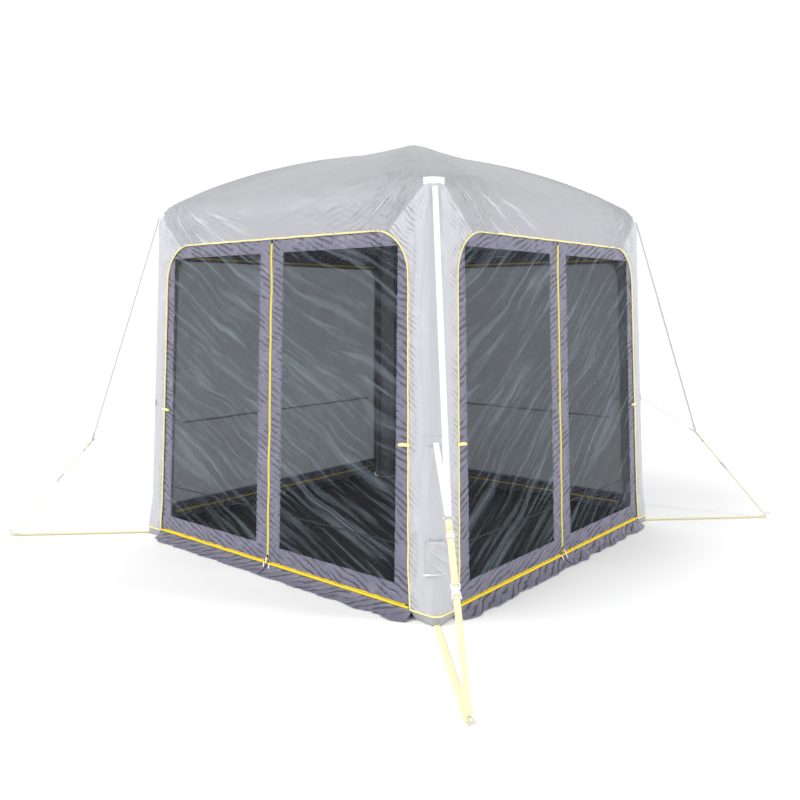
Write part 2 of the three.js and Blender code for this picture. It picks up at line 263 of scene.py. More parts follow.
def skin(side, along, up):
    """A point of the canopy: along the skin from the middle of a side, and up it from the ground."""
    out, height = profile(up)
    radius = corner_radius(out, height)
    flat = out - radius
    run = np.abs(along) * half_run(out, radius) / WALL_RUN
    turn = np.clip((run - flat) / np.maximum(radius, 1e-9), 0, math.pi / 4)
    x = np.sign(along) * (np.minimum(run, flat) + radius * np.sin(turn))
    y = -(flat + radius * np.cos(turn))
    arc = EaveArc(sizes().eave_round)
    share = np.clip((up - arc.height) / (arc.crown - arc.height), 0, 1)
    bay = np.sin(math.pi * share) ** 0.8
    from_ridge = half_run(out, radius) * (1 - np.abs(along) / WALL_RUN)
    hollow = (1 - np.exp(-from_ridge / 0.09)) * 0.35 + 0.65 * (1 - (along / WALL_RUN) ** 2)
    return leant(turned(side, x, y, height - sizes().roof_sag * bay * hollow))


def corner_skin(corner, along, up):
    """A point of the canopy, along the skin from the middle of a corner: negative on the side before it."""
    before = skin(corner, WALL_RUN + np.minimum(along, 0), up)
    after = skin(corner + 1, -WALL_RUN + np.maximum(along, 0), up)
    return np.where((along > 0)[..., None], after, before)


def wall_place(side, across, out, up):
    """A point given across, out from and up the outer face of a wall."""
    tilt = math.atan(LEAN)
    y = -WALL_HALF - out * math.cos(tilt) + up * math.sin(tilt)
    return turned(side, across + 0 * up, y, up * math.cos(tilt) + out * math.sin(tilt))


def wall_face(side, across, up):
    """A point on the sheet of a wall."""
    return wall_place(side, across, SHEET_FACE, up)


def diagonal_place(corner, along, across, up):
    """A point in the plane of a corner's guy line, or beside it."""
    angle = math.radians(90 * corner - 45)
    c, s = math.cos(angle), math.sin(angle)
    return Vector((along * c - across * s, along * s + across * c, up))


def relieved(surface, part, along, up, relief):
    """Points of the skin or the walls, at one side or corner, raised along their outward normal."""
    step = 1e-3
    place = surface(part, along, up)
    normal = np.cross(surface(part, along + step, up) - place, surface(part, along, up + step) - place)
    size = np.linalg.norm(normal, axis=-1, keepdims=True)
    return place + normal / np.maximum(size, 1e-12) * np.asarray(relief)[..., None]


# ---------------------------------------------------------------- cloth relief


def waves(x, seed, count=5):
    """A smooth random line with waves about 1 long, from about -1 to 1."""
    draw = np.random.default_rng(seed)
    total = 0
    for _ in range(count):
        total = total + np.sin(2 * math.pi * (x * draw.uniform(0.55, 1.7) + draw.uniform()))
    return total / math.sqrt(2 * count)


def fan(x, y, focus, reach, spacing, seed):
    """Sharp creases that fan out of one point and die away, from 0 to about 1."""
    dx, dy = x - focus[0], y - focus[1]
    distance = np.hypot(dx, dy)
    turn = np.arctan2(dy, dx) / spacing + 0.25 * waves(distance / 0.5, seed + 1)
    broken = 0.5 + 0.5 * waves(distance / 0.3 + 1.7 * turn, seed + 2)
    strength = np.clip(distance / (0.2 * reach), 0, 1) * np.exp(-((distance / reach) ** 2))
    return creases(turn, seed, 0.35) * np.clip(broken, 0.1, 1) * strength


def creases(x, seed, sharpness=0.3):
    """Narrow random folds, about two to each unit of x, from 0 to 1."""
    return np.exp(-((waves(x, seed) / sharpness) ** 2))


def smooth(x, low, high):
    share = np.clip((x - low) / (high - low), 0, 1)
    return share * share * (3 - 2 * share)


# ---------------------------------------------------------------- meshes and pieces


def stepped(*spans):
    """A rising line of numbers, from spans of (start, end, count) that share their ends."""
    parts = [np.linspace(*span) for span in spans]
    return np.concatenate([part[:-1] for part in parts[:-1]] + [parts[-1]])


def grid_mesh(points, uv, keep=None):
    """A sheet of quads from rows and columns of points, with its cloth in metres as its UV map."""
    rows, columns = points.shape[:2]
    index = np.arange(rows * columns).reshape(rows, columns)
    quads = np.stack([index[:-1, :-1], index[:-1, 1:], index[1:, 1:], index[1:, :-1]], axis=-1)
    quads = quads.reshape(-1, 4) if keep is None else quads[keep]
    used, quads = np.unique(quads, return_inverse=True)
    quads = quads.reshape(-1, 4)
    mesh = bpy.data.meshes.new("cloth")
    mesh.from_pydata(points.reshape(-1, 3)[used].tolist(), [], quads.tolist())
    layer = mesh.uv_layers.new(name="Cloth")
    layer.data.foreach_set("uv", uv.reshape(-1, 2)[used][quads.ravel()].astype(np.float32).ravel())
    mesh.shade_smooth()
    return mesh


def middles(grid):
    """How far the middle of each quad lies from zero."""
    return np.abs((grid[:-1, :-1] + grid[1:, 1:]) / 2)


def add_piece(name, mesh, finish=None, body="root", replaces=()):
    """A finished piece from a mesh or a bmesh: at the origin, on its body, with its finish."""
    if isinstance(mesh, bmesh.types.BMesh):
        mesh = finish_mesh(mesh)
    mesh.name = name
    piece = bpy.data.objects.new(name, mesh)
    bpy.context.scene.collection.objects.link(piece)
    if finish:
        mesh.materials.append(finishes()[finish])
    if body:
        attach(piece, body)
    if replaces:
        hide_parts(*replaces)
    return piece


def refinish(node, finish):
    """Gives a node of the frame its finish."""
    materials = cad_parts[node].data.materials
    materials.clear()
    materials.append(finishes()[finish])


def thicken(piece, thickness, offset=-1):
    """A live wall thickness under the outer face."""
    shell = piece.modifiers.new("Thickness", "SOLIDIFY")
    shell.thickness = thickness
    shell.offset = offset
    return piece


def section_of(width, thickness, sides=4):
    """A rounded flat section, or a round one when both sizes are the same."""
    if width == thickness:
        turns = [2 * math.pi * i / sides for i in range(sides)]
        return [(width / 2 * math.cos(a), thickness / 2 * math.sin(a)) for a in turns]
    x, y, bevel = width / 2, thickness / 2, 0.4 * thickness
    quarter = [(x - bevel, -y), (x, -y + bevel), (x, y - bevel), (x - bevel, y)]
    return quarter + [(-a, -b) for a, b in quarter]


def sweep_into(shape, points, section, side=None, closed=False):
    """Runs a section along points. A given side keeps the section's width along it."""
    points = [Vector(p) for p in points]
    last = len(points) - 1
    layer = shape.loops.layers.uv.verify()
    frames = []
    held = None if side is None else Vector(side)
    for i, place in enumerate(points):
        before = points[i - 1] if (i or closed) else place
        after = points[(i + 1) % len(points)] if (i < last or closed) else place
        tangent = (after - before).normalized()
        if side is None:
            seed = held or (Vector((0, 0, 1)) if abs(tangent.z) < 0.9 else Vector((1, 0, 0)))
            held = (seed - tangent * seed.dot(tangent)).normalized()
            across = held
        else:
            across = (held - tangent * held.dot(tangent)).normalized()
        frames.append((place, across, tangent.cross(across)))
    rings = [
        [shape.verts.new(place + across * a + rise * b) for a, b in section]
        for place, across, rise in frames
    ]
    run, ways = 0.0, len(section)
    for i in range(len(points) if closed else last):
        j = (i + 1) % len(points)
        step = (points[j] - points[i]).length
        for a in range(ways):
            b = (a + 1) % ways
            face = shape.faces.new((rings[i][a], rings[i][b], rings[j][b], rings[j][a]))
            face.smooth = True
            spots = ((a, run), (a + 1, run), (a + 1, run + step), (a, run + step))
            for loop, (turn, length) in zip(face.loops, spots):
                loop[layer].uv = (turn / ways, length)
        run += step
    if not closed:
        shape.faces.new(rings[0][::-1])
        shape.faces.new(rings[-1])
    return shape


def finish_mesh(shape):
    """Turns a bmesh into a mesh with its faces outward."""
    bmesh.ops.recalc_face_normals(shape, faces=shape.faces)
    mesh = bpy.data.meshes.new("piece")
    shape.to_mesh(mesh)
    shape.free()
    return mesh


def tube(points, diameter, sides=10, closed=False):
    return sweep_into(bmesh.new(), points, section_of(diameter, diameter, sides), closed=closed)


def box_into(shape, size, place, bevel):
    """A box with rounded edges, placed by a matrix."""
    box = bmesh.new()
    bmesh.ops.create_cube(box, size=1.0)
    bmesh.ops.scale(box, vec=Vector(size), verts=box.verts)
    bmesh.ops.bevel(box, geom=box.edges[:], offset=bevel, segments=2, profile=0.5, affect="EDGES")
    bmesh.ops.transform(box, matrix=place, verts=box.verts)
    mesh = finish_mesh(box)
    shape.from_mesh(mesh)
    bpy.data.meshes.remove(mesh)


def lathe_into(shape, outline, place, sides=32):
    """Turns an outline of radius and height about its own Z, placed by a matrix."""
    rings = []
    for radius, height in outline:
        turns = [2 * math.pi * i / sides for i in range(sides)]
        spots = [Vector((radius * math.cos(a), radius * math.sin(a), height)) for a in turns]
        rings.append([shape.verts.new(place @ p) for p in spots])
    for low, high in zip(rings, rings[1:]):
        for a in range(sides):
            b = (a + 1) % sides
            shape.faces.new((low[a], low[b], high[b], high[a]))
    shape.faces.new(rings[0][::-1])
    shape.faces.new(rings[-1])
    return shape


def guy_axes(corner):
    """Along the guy strap, across it, and off its face, at one corner."""
    start, end = RING_PLACE, GUY_END
    run = math.hypot(end[0] - start[0], end[1] - start[1])
    along = diagonal_place(corner, (end[0] - start[0]) / run, 0, (end[1] - start[1]) / run)
    across = diagonal_place(corner, 0, 1, 0)
    return along, across, along.cross(across)


def guy_matrix(corner, distance):
    """Placement on the guy strap: X along it, Y across it, Z off its face."""
    along, across, off = guy_axes(corner)
    ring = diagonal_place(corner, RING_PLACE[0], 0, RING_PLACE[1])
    place = Matrix((along, across, off)).transposed().to_4x4()
    place.translation = ring + along * distance
    return place


# ---------------------------------------------------------------- materials


def add_node(tree, kind, inputs=None, **settings):
    """Adds a node with its settings, and sets or links its inputs: another node by its first output."""
    node = tree.nodes.new(kind)
    for name, value in settings.items():
        setattr(node, name, value)
    for name, value in (inputs or {}).items():
        if isinstance(value, bpy.types.Node):
            value = next(socket for socket in value.outputs if socket.enabled)
        if isinstance(value, bpy.types.NodeSocket):
            tree.links.new(value, node.inputs[name])
        else:
            node.inputs[name].default_value = value
    return node


def new_material(name):
    """An empty node material, and its tree."""
    material = bpy.data.materials.new(name)
    material.use_nodes = True
    material.node_tree.nodes.clear()
    return material, material.node_tree


def shades(colour, low, high):
    """Two shades of a colour, as RGBA."""
    return [[min(1, c * share) for c in colour] + [1] for share in (low, high)]


def add_pleats(tree, cloth, spacing, slant, clear):
    """Short sharp slanting creases, from 0 in a groove to 1, away from the middle of the cloth."""
    tilted = add_node(
        tree, "ShaderNodeVectorRotate", {"Vector": cloth, "Angle": slant}, rotation_type="Z_AXIS"
    )
    bands = add_node(
        tree,
        "ShaderNodeTexWave",
        {
            "Vector": tilted,
            "Scale": math.pi / (10 * spacing),
            "Distortion": 7.5,
            "Detail": 2.0,
            "Detail Scale": 0.5,
        },
        wave_type="BANDS",
        bands_direction="Y",
    )
    patches = add_node(tree, "ShaderNodeTexNoise", {"Vector": cloth, "Scale": 9.0, "Detail": 2.0})
    groove = add_node(
        tree, "ShaderNodeMapRange", {"Value": bands.outputs["Fac"], "From Min": 0.02, "From Max": 0.45}
    )
    shown = add_node(
        tree, "ShaderNodeMapRange", {"Value": patches.outputs["Fac"], "From Min": 0.38, "From Max": 0.56}
    )
    split = add_node(tree, "ShaderNodeSeparateXYZ", {"Vector": cloth})
    across = add_node(tree, "ShaderNodeMath", {0: split.outputs["X"]}, operation="ABSOLUTE")
    outside = add_node(
        tree, "ShaderNodeMapRange", {"Value": across, "From Min": clear, "From Max": 1.6 * clear + 0.001}
    )
    share = add_node(tree, "ShaderNodeMath", {0: shown, 1: outside}, operation="MULTIPLY")
    return add_node(tree, "ShaderNodeMix", {"Factor": share, "A": 1.0, "B": groove}, data_type="FLOAT")


def add_shoulder_streaks(tree, cloth):
    """Tight folds that fan out of both shoulders of a roof panel over its valance, from 0 to 1."""
    split = add_node(tree, "ShaderNodeSeparateXYZ", {"Vector": cloth})
    reach = add_node(tree, "ShaderNodeMath", {0: split.outputs["X"]}, operation="ABSOLUTE")
    beside = add_node(tree, "ShaderNodeMath", {0: WALL_RUN, 1: reach}, operation="SUBTRACT")
    below = add_node(tree, "ShaderNodeMath", {0: 2.42, 1: split.outputs["Y"]}, operation="SUBTRACT")
    turn = add_node(tree, "ShaderNodeMath", {0: below, 1: beside}, operation="ARCTAN2")
    spokes = add_node(tree, "ShaderNodeMath", {0: turn, 1: 13.0}, operation="MULTIPLY")
    line = add_node(tree, "ShaderNodeCombineXYZ", {"X": spokes, "Y": beside, "Z": split.outputs["X"]})
    streaks = add_node(
        tree, "ShaderNodeTexNoise", {"Vector": line, "Scale": 1.3, "Detail": 2.5, "Distortion": 0.35}
    )
    sharp = add_node(
        tree, "ShaderNodeMapRange", {"Value": streaks.outputs["Fac"], "From Min": 0.55, "From Max": 0.67}
    )
    low = add_node(
        tree,
        "ShaderNodeMapRange",
        {"Value": split.outputs["Y"], "From Min": 2.3, "From Max": 2.12},
        interpolation_type="SMOOTHSTEP",
    )
    near = add_node(
        tree,
        "ShaderNodeMapRange",
        {"Value": reach, "From Min": 0.1, "From Max": 0.75},
        interpolation_type="SMOOTHSTEP",
    )
    place = add_node(tree, "ShaderNodeMath", {0: low, 1: near}, operation="MULTIPLY")
    return add_node(tree, "ShaderNodeMath", {0: sharp, 1: place}, operation="MULTIPLY")


def cloth_material(
    name, colour, roughness, crinkle, weave, crest_shading=0.08, through=0.0, pleats=None, streaked=False
):
    """Woven coated cloth: a fine plain weave under a thin coat that creases sharply and shines softly.

    crinkle is the height of its small creases and weave the spacing of its threads, in metres.
    pleats gives the spacing, slant, plain middle, height and darkness of its gathers: their grooves are
    painted darker as painted shade, their ridges a little lighter as a painted highlight.
    streaked adds the folds of a roof panel under its shoulders, raised as bumps and painted lighter as a
    painted highlight.
    """
    material, tree = new_material(name)
    place = add_node(tree, "ShaderNodeTexCoord")
    spot, cloth_uv = place.outputs["Object"], place.outputs["UV"]
    bent = add_node(tree, "ShaderNodeTexNoise", {"Vector": spot, "Scale": 3.5, "Detail": 3})
    spread = add_node(
        tree, "ShaderNodeVectorMath", {0: bent.outputs["Color"], "Scale": 0.35}, operation="SCALE"
    )
    pulled = add_node(tree, "ShaderNodeVectorMath", {0: spot, 1: spread}, operation="ADD")
    folds = add_node(
        tree,
        "ShaderNodeTexNoise",
        {"Vector": pulled, "Scale": 9, "Detail": 5, "Roughness": 0.55},
        noise_type="RIDGED_MULTIFRACTAL",
    )
    threads = [
        add_node(
            tree,
            "ShaderNodeTexWave",
            {"Vector": cloth_uv, "Scale": math.pi / (20 * weave), "Distortion": 0.0},
            wave_type="BANDS",
            bands_direction=direction,
        )
        for direction in ("X", "Y")
    ]
    woven = add_node(
        tree,
        "ShaderNodeMath",
        {0: threads[0].outputs["Fac"], 1: threads[1].outputs["Fac"]},
        operation="MULTIPLY",
    )
    # Painted shade and highlight: the colour is painted darker in the hollows of the small creases and
    # lighter on their crests, by the same noise that raises them.
    dim, bright = shades(colour, 1 - crest_shading, 1 + crest_shading / 2)
    crests = folds.outputs["Fac"]
    shade = add_node(tree, "ShaderNodeMix", {"Factor": crests, "A": dim, "B": bright}, data_type="RGBA")
    gloss = add_node(
        tree,
        "ShaderNodeMapRange",
        {"Value": crests, "To Min": roughness + 0.08, "To Max": roughness - 0.08},
    )
    creased = add_node(tree, "ShaderNodeBump", {"Height": crests, "Distance": crinkle, "Strength": 0.6})
    if streaked:
        level = add_shoulder_streaks(tree, cloth_uv)
        creased = add_node(
            tree,
            "ShaderNodeBump",
            {"Height": level, "Distance": 0.012, "Strength": 0.7, "Normal": creased},
        )
        # Painted highlight: the colour is painted up to 1.6 times lighter along the shoulder folds, standing
        # for the sheen of the coat on them.
        lighter = add_node(tree, "ShaderNodeMapRange", {"Value": level, "To Min": 1.0, "To Max": 1.6})
        shade = add_node(tree, "ShaderNodeVectorMath", {0: shade, "Scale": lighter}, operation="SCALE")
    if pleats:
        spacing, slant, clear, height, dark = pleats
        level = add_pleats(tree, cloth_uv, spacing, slant, clear)
        creased = add_node(
            tree,
            "ShaderNodeBump",
            {"Height": level, "Distance": height, "Strength": 0.8, "Normal": creased},
        )
        # Painted shade in the grooves of the gathers, down to dark times the colour, and a painted highlight
        # of up to 1.1 times on their ridges.
        painted_pleat_shading = add_node(tree, "ShaderNodeMapRange", {"Value": level, "To Min": dark, "To Max": 1.1})
        shade = add_node(tree, "ShaderNodeVectorMath", {0: shade, "Scale": painted_pleat_shading}, operation="SCALE")
    raised = add_node(
        tree,
        "ShaderNodeBump",
        {"Height": woven, "Distance": 0.05 * weave, "Strength": 0.5, "Normal": creased},
    )
    cloth = add_node(
        tree,
        "ShaderNodeBsdfPrincipled",
        {"Base Color": shade, "Roughness": gloss, "Normal": raised, "IOR": 1.5},
    )
    if through:
        lit = add_node(tree, "ShaderNodeBsdfTranslucent", {"Color": shade})
        cloth = add_node(tree, "ShaderNodeMixShader", {0: through, 1: cloth, 2: lit})
    add_node(tree, "ShaderNodeOutputMaterial", {"Surface": cloth})
    return material


def mesh_material(name, colour):
    """Black knitted insect mesh: mostly holes, with slanting streaks painted lighter as a painted highlight
    where folds would turn its threads to the light.
    """
    material, tree = new_material(name)
    place = add_node(tree, "ShaderNodeTexCoord")
    # Long narrow streaks that slant across the wall, bent by a slow wander.
    wander = add_node(tree, "ShaderNodeTexNoise", {"Vector": place.outputs["UV"], "Scale": 1.1})
    drift = add_node(
        tree, "ShaderNodeVectorMath", {0: wander.outputs["Color"], "Scale": 0.3}, operation="SCALE"
    )
    bent = add_node(tree, "ShaderNodeVectorMath", {0: place.outputs["UV"], 1: drift}, operation="ADD")
    turned_uv = add_node(
        tree,
        "ShaderNodeVectorRotate",
        {"Vector": bent, "Angle": math.radians(-52)},
        rotation_type="Z_AXIS",
    )
    narrow = add_node(
        tree, "ShaderNodeVectorMath", {0: turned_uv, 1: (26.0, 1.6, 1.0)}, operation="MULTIPLY"
    )
    streaks = add_node(
        tree, "ShaderNodeTexNoise", {"Vector": narrow, "Scale": 1.0, "Detail": 4, "Distortion": 0.6}
    )
    # Painted highlight: the colour runs from 0.4 to 6.5 times the mesh colour across the streaks, standing
    # for folds that catch the light.
    dim, bright = shades(colour, 0.4, 6.5)
    tint = add_node(tree, "ShaderNodeValToRGB", {"Fac": streaks.outputs["Fac"]})
    for stop, position, shade in zip(tint.color_ramp.elements, (0.47, 0.8), (dim, bright)):
        stop.position = position
        stop.color = shade
    cover = add_node(
        tree,
        "ShaderNodeMapRange",
        {"Value": streaks.outputs["Fac"], "From Min": 0.4, "From Max": 0.75, "To Min": 0.42, "To Max": 0.62},
    )
    cloth = add_node(
        tree,
        "ShaderNodeBsdfPrincipled",
        {
            "Base Color": tint.outputs["Color"],
            "Roughness": 0.6,
            "Alpha": cover,
            "Specular IOR Level": 0.12,
        },
    )
    add_node(tree, "ShaderNodeOutputMaterial", {"Surface": cloth})
    return material


def webbing_material(name, colour):
    """Woven polyester webbing: ribs across the strap, slightly fuzzy, matt."""
    material, tree = new_material(name)
    place = add_node(tree, "ShaderNodeTexCoord")
    rib_spacing = 0.003  # real ribs are 1.5 mm apart; twice that still shows
    ribs = add_node(
        tree,
        "ShaderNodeTexWave",
        {"Vector": place.outputs["UV"], "Scale": math.pi / (20 * rib_spacing), "Distortion": 0.4},
        wave_type="BANDS",
        bands_direction="Y",
    )
    fuzz = add_node(tree, "ShaderNodeTexNoise", {"Vector": place.outputs["Object"], "Scale": 220})
    height = add_node(
        tree, "ShaderNodeMath", {0: ribs.outputs["Fac"], 1: fuzz.outputs["Fac"]}, operation="MULTIPLY"
    )
    dim, bright = shades(colour, 0.86, 1.03)
    tint = add_node(
        tree, "ShaderNodeMix", {"Factor": ribs.outputs["Fac"], "A": dim, "B": bright}, data_type="RGBA"
    )
    bump = add_node(tree, "ShaderNodeBump", {"Height": height, "Distance": 0.0006, "Strength": 0.7})
    cloth = add_node(
        tree,
        "ShaderNodeBsdfPrincipled",
        {"Base Color": tint, "Roughness": 0.7, "Normal": bump, "Sheen Weight": 0.15},
    )
    add_node(tree, "ShaderNodeOutputMaterial", {"Surface": cloth})
    return material


def hard_material(name, colour, roughness, metallic=0.0, grain=350, depth=0.0001, wear=0.12):
    """Moulded or worked hard stuff: a fine surface grain, and lighter worn patches."""
    material, tree = new_material(name)
    place = add_node(tree, "ShaderNodeTexCoord")
    fine = add_node(
        tree, "ShaderNodeTexNoise", {"Vector": place.outputs["Object"], "Scale": grain, "Detail": 3}
    )
    patch = add_node(
        tree, "ShaderNodeTexNoise", {"Vector": place.outputs["Object"], "Scale": 45, "Detail": 4}
    )
    dim, bright = shades(colour, 1 - wear, 1 + wear)
    tint = add_node(
        tree, "ShaderNodeMix", {"Factor": patch.outputs["Fac"], "A": dim, "B": bright}, data_type="RGBA"
    )
    gloss = add_node(
        tree,
        "ShaderNodeMapRange",
        {"Value": patch.outputs["Fac"], "To Min": roughness + 0.1, "To Max": roughness - 0.08},
    )
    bump = add_node(
        tree, "ShaderNodeBump", {"Height": fine.outputs["Fac"], "Distance": depth, "Strength": 0.5}
    )
    body = add_node(
        tree,
        "ShaderNodeBsdfPrincipled",
        {"Base Color": tint, "Roughness": gloss, "Metallic": metallic, "Normal": bump},
    )
    add_node(tree, "ShaderNodeOutputMaterial", {"Surface": body})
    return material


FINISHES = {}


def finishes():
    """Each material by its short name, made once."""
    if FINISHES:
        return FINISHES
    tint = colours()
    made = {
        # Polyester taffeta with a silver-grey PU coat: soft highlights on sharp creases, and a painted
        # highlight on the folds under the shoulders.
        "roof": cloth_material(
            "Coated polyester roof", tint.roof, 0.34, 0.0045, 0.004, 0.04, through=0.1, streaked=True
        ),
        "sleeve": cloth_material(
            "Coated polyester sleeve", tint.sleeve, 0.36, 0.004, 0.004, through=0.1,
            pleats=(0.026, math.radians(38), 0.09, 0.004, 0.8),
        ),
        # Uncoated oxford: matt, with a visible basket weave.
        "foot": cloth_material("Oxford foot cap", tint.foot, 0.7, 0.002, 0.003),
        "border": cloth_material(
            "Polyester taffeta border", tint.border, 0.27, 0.006, 0.003, 0.2,
            pleats=(0.036, math.radians(24), 0.012, 0.008, 0.55),
        ),
        "wall": cloth_material("Polyester taffeta wall", tint.wall, 0.5, 0.004, 0.003, through=0.6),
        "floor": cloth_material("Polyethylene groundsheet", tint.floor, 0.5, 0.003, 0.004, 0.2),
        "beam": cloth_material("Woven beam cover", tint.beam, 0.55, 0.0015, 0.003),
        "piping": cloth_material("Corded piping", tint.piping, 0.55, 0.0004, 0.0012, 0.04),
        "zip": cloth_material("Nylon zip", tint.zip, 0.45, 0.0003, 0.0012, 0.06),
        "foot_zip": cloth_material("Nylon foot zip", tint.foot_zip, 0.4, 0.0003, 0.0012, 0.08),
        "tag": cloth_material("Reflective pull tag", tint.buckle, 0.35, 0.0003, 0.0012, 0.05),
        "mesh": mesh_material("Knitted insect mesh", tint.mesh),
        "white_web": webbing_material("White polyester webbing", tint.white_web),
        "yellow_web": webbing_material("Yellow polyester webbing", tint.yellow_web),
        # Acetal: slightly waxy and smooth.
        "buckle": hard_material("Moulded acetal buckle", tint.buckle, 0.35),
        "metal": hard_material("Zinc plated steel", tint.metal, 0.3, 1.0, 500, 0.00005),
        "slider": hard_material("Painted zinc slider", tint.slider, 0.35, 0.4, 500, 0.00005, 0.3),
        "valve": hard_material("Moulded nylon valve", tint.valve, 0.5),
    }
    FINISHES.update(made)
    return FINISHES


# ---------------------------------------------------------------- rows of stitches and teeth


def row_tree():
    """Geometry nodes that set a small rounded tooth or stitch at even steps along lines."""
    if "Row Along Lines" in bpy.data.node_groups:
        return bpy.data.node_groups["Row Along Lines"]
    tree = bpy.data.node_groups.new("Row Along Lines", "GeometryNodeTree")
    sockets = tree.interface
    sockets.new_socket("Geometry", in_out="INPUT", socket_type="NodeSocketGeometry")
    for name, default in (("Spacing", 0.008), ("Length", 0.005), ("Width", 0.001)):
        socket = sockets.new_socket(name, in_out="INPUT", socket_type="NodeSocketFloat")
        socket.subtype = "DISTANCE"
        socket.default_value = default
    sockets.new_socket("Material", in_out="INPUT", socket_type="NodeSocketMaterial")
    sockets.new_socket("Geometry", in_out="OUTPUT", socket_type="NodeSocketGeometry")
    given = add_node(tree, "NodeGroupInput")
    lines = add_node(tree, "GeometryNodeMeshToCurve", {"Mesh": given.outputs["Geometry"]})
    steps = add_node(
        tree,
        "GeometryNodeCurveToPoints",
        {"Curve": lines, "Length": given.outputs["Spacing"]},
        mode="LENGTH",
    )
    bead = add_node(tree, "GeometryNodeMeshIcoSphere", {"Radius": 0.5, "Subdivisions": 1})
    scale = add_node(
        tree,
        "ShaderNodeCombineXYZ",
        {"X": given.outputs["Width"], "Y": given.outputs["Width"], "Z": given.outputs["Length"]},
    )
    placed = add_node(
        tree,
        "GeometryNodeInstanceOnPoints",
        {
            "Points": steps.outputs["Points"],
            "Instance": bead,
            "Rotation": steps.outputs["Rotation"],
            "Scale": scale,
        },
    )
    real = add_node(tree, "GeometryNodeRealizeInstances", {"Geometry": placed})
    done = add_node(
        tree,
        "GeometryNodeSetMaterial",
        {"Geometry": real.outputs["Geometry"], "Material": given.outputs["Material"]},
    )
    add_node(tree, "NodeGroupOutput", {"Geometry": done.outputs["Geometry"]})
    return tree


def row_mesh(lines, spacing, length, width, finish):
    """A plain mesh of small beads along lines of points."""
    points, edges = [], []
    for line in lines:
        first = len(points)
        points.extend(Vector(p) for p in line)
        edges.extend((i, i + 1) for i in range(first, len(points) - 1))
    guide = bpy.data.meshes.new("guide")
    guide.from_pydata(points, edges, [])
    carrier = bpy.data.objects.new("guide", guide)
    bpy.context.scene.collection.objects.link(carrier)
    row = carrier.modifiers.new("Row", "NODES")
    row.node_group = row_tree()
    settings = {"Spacing": spacing, "Length": length, "Width": width, "Material": finishes()[finish]}
    for item in row.node_group.interface.items_tree:
        if item.in_out == "INPUT" and item.name in settings:
            row[item.identifier] = settings[item.name]
    bpy.context.view_layer.update()
    evaluated = carrier.evaluated_get(bpy.context.evaluated_depsgraph_get())
    mesh = bpy.data.meshes.new_from_object(evaluated)
    mesh.shade_smooth()
    bpy.data.objects.remove(carrier)
    return mesh


# ---------------------------------------------------------------- operators


class StageOperator(bpy.types.Operator):
    """Makes the camera, the soft studio lights and the pale floor"""

    bl_idname = "screenhouse.stage"
    bl_label = "Stage"

    def execute(self, context):
        scene = context.scene
        scene.view_settings.view_transform = "Standard"
        azimuth = math.radians(CAMERA_TURN)
        forward = Vector((-math.sin(azimuth), math.cos(azimuth), 0))
        right = Vector((math.cos(azimuth), math.sin(azimuth), 0))
        camera = bpy.data.objects.new("Camera", bpy.data.cameras.new("Camera"))
        camera.location = -forward * CAMERA_OUT - right * CAMERA_ASIDE + Vector((0, 0, CAMERA_UP))
        camera.rotation_euler = (math.radians(CAMERA_TILT), 0, azimuth)
        camera.data.lens = CAMERA_LENS
        camera.data.sensor_width = 36
        camera.data.shift_y = CAMERA_SHIFT
        scene.collection.objects.link(camera)
        scene.camera = camera
        self.add_lights(scene)
        self.add_floor(scene)
        return {"FINISHED"}

    def add_lights(self, scene):
        world = bpy.data.worlds.new("Studio")
        scene.world = world
        world.use_nodes = True
        tree = world.node_tree
        place = add_node(tree, "ShaderNodeTexCoord")
        split = add_node(tree, "ShaderNodeSeparateXYZ", {"Vector": place.outputs["Generated"]})
        overhead = add_node(
            tree,
            "ShaderNodeMapRange",
            {"Value": split.outputs["Z"], "From Min": 0.45, "From Max": 0.8, "To Min": 1.05, "To Max": 0.69},
            interpolation_type="SMOOTHSTEP",
        )
        tree.links.new(overhead.outputs["Result"], tree.nodes["Background"].inputs["Strength"])
        tree.nodes["Background"].inputs["Color"].default_value = (1, 1, 1, 1)
        sun = bpy.data.lights.new("Sun", "SUN")
        sun.energy = 1.25
        sun.angle = math.radians(35)
        holder = bpy.data.objects.new("Sun", sun)
        holder.rotation_euler = Vector((0.35, 0.75, -0.8)).to_track_quat("-Z", "Y").to_euler()
        scene.collection.objects.link(holder)
        lamps = (("Key", (-4.0, -6.5, 4.5), 0.9, 80), ("Side", (7.0, 1.5, 4.0), 0.9, 150))
        for name, place, size, power in lamps:
            lamp = bpy.data.lights.new(name, "AREA")
            lamp.size = size
            lamp.energy = power
            holder = bpy.data.objects.new(name, lamp)
            holder.location = place
            aim = Vector((0, 0, 1.2)) - Vector(place)
            holder.rotation_euler = aim.to_track_quat("-Z", "Y").to_euler()
            scene.collection.objects.link(holder)

    def add_floor(self, scene):
        shape = bmesh.new()
        bmesh.ops.create_circle(shape, cap_ends=True, segments=96, radius=40)
        bmesh.ops.translate(shape, verts=shape.verts, vec=(0, 0, -0.002))
        mesh = bpy.data.meshes.new("studio_floor")
        shape.to_mesh(mesh)
        shape.free()
        floor = bpy.data.objects.new("studio_floor", mesh)
        scene.collection.objects.link(floor)
        # Matt studio paper: near white, with a faint mottle.
        material, tree = new_material("Studio paper")
        mottle = add_node(tree, "ShaderNodeTexNoise", {"Scale": 2.0})
        tone = add_node(
            tree, "ShaderNodeMapRange", {"Value": mottle.outputs["Fac"], "To Min": 0.96, "To Max": 0.98}
        )
        paper = add_node(
            tree,
            "ShaderNodeBsdfPrincipled",
            {"Base Color": tone, "Roughness": 0.9, "Specular IOR Level": 0.1},
        )
        add_node(tree, "ShaderNodeOutputMaterial", {"Surface": paper})
        mesh.materials.append(material)


def between(start, end, gap_end=0.0):
    """The straight run of a strap in a corner's plane, with its far end cut short."""
    run = math.hypot(end[0] - start[0], end[1] - start[1])
    share = 1 - gap_end / run
    return start, (start[0] + (end[0] - start[0]) * share, start[1] + (end[1] - start[1]) * share)


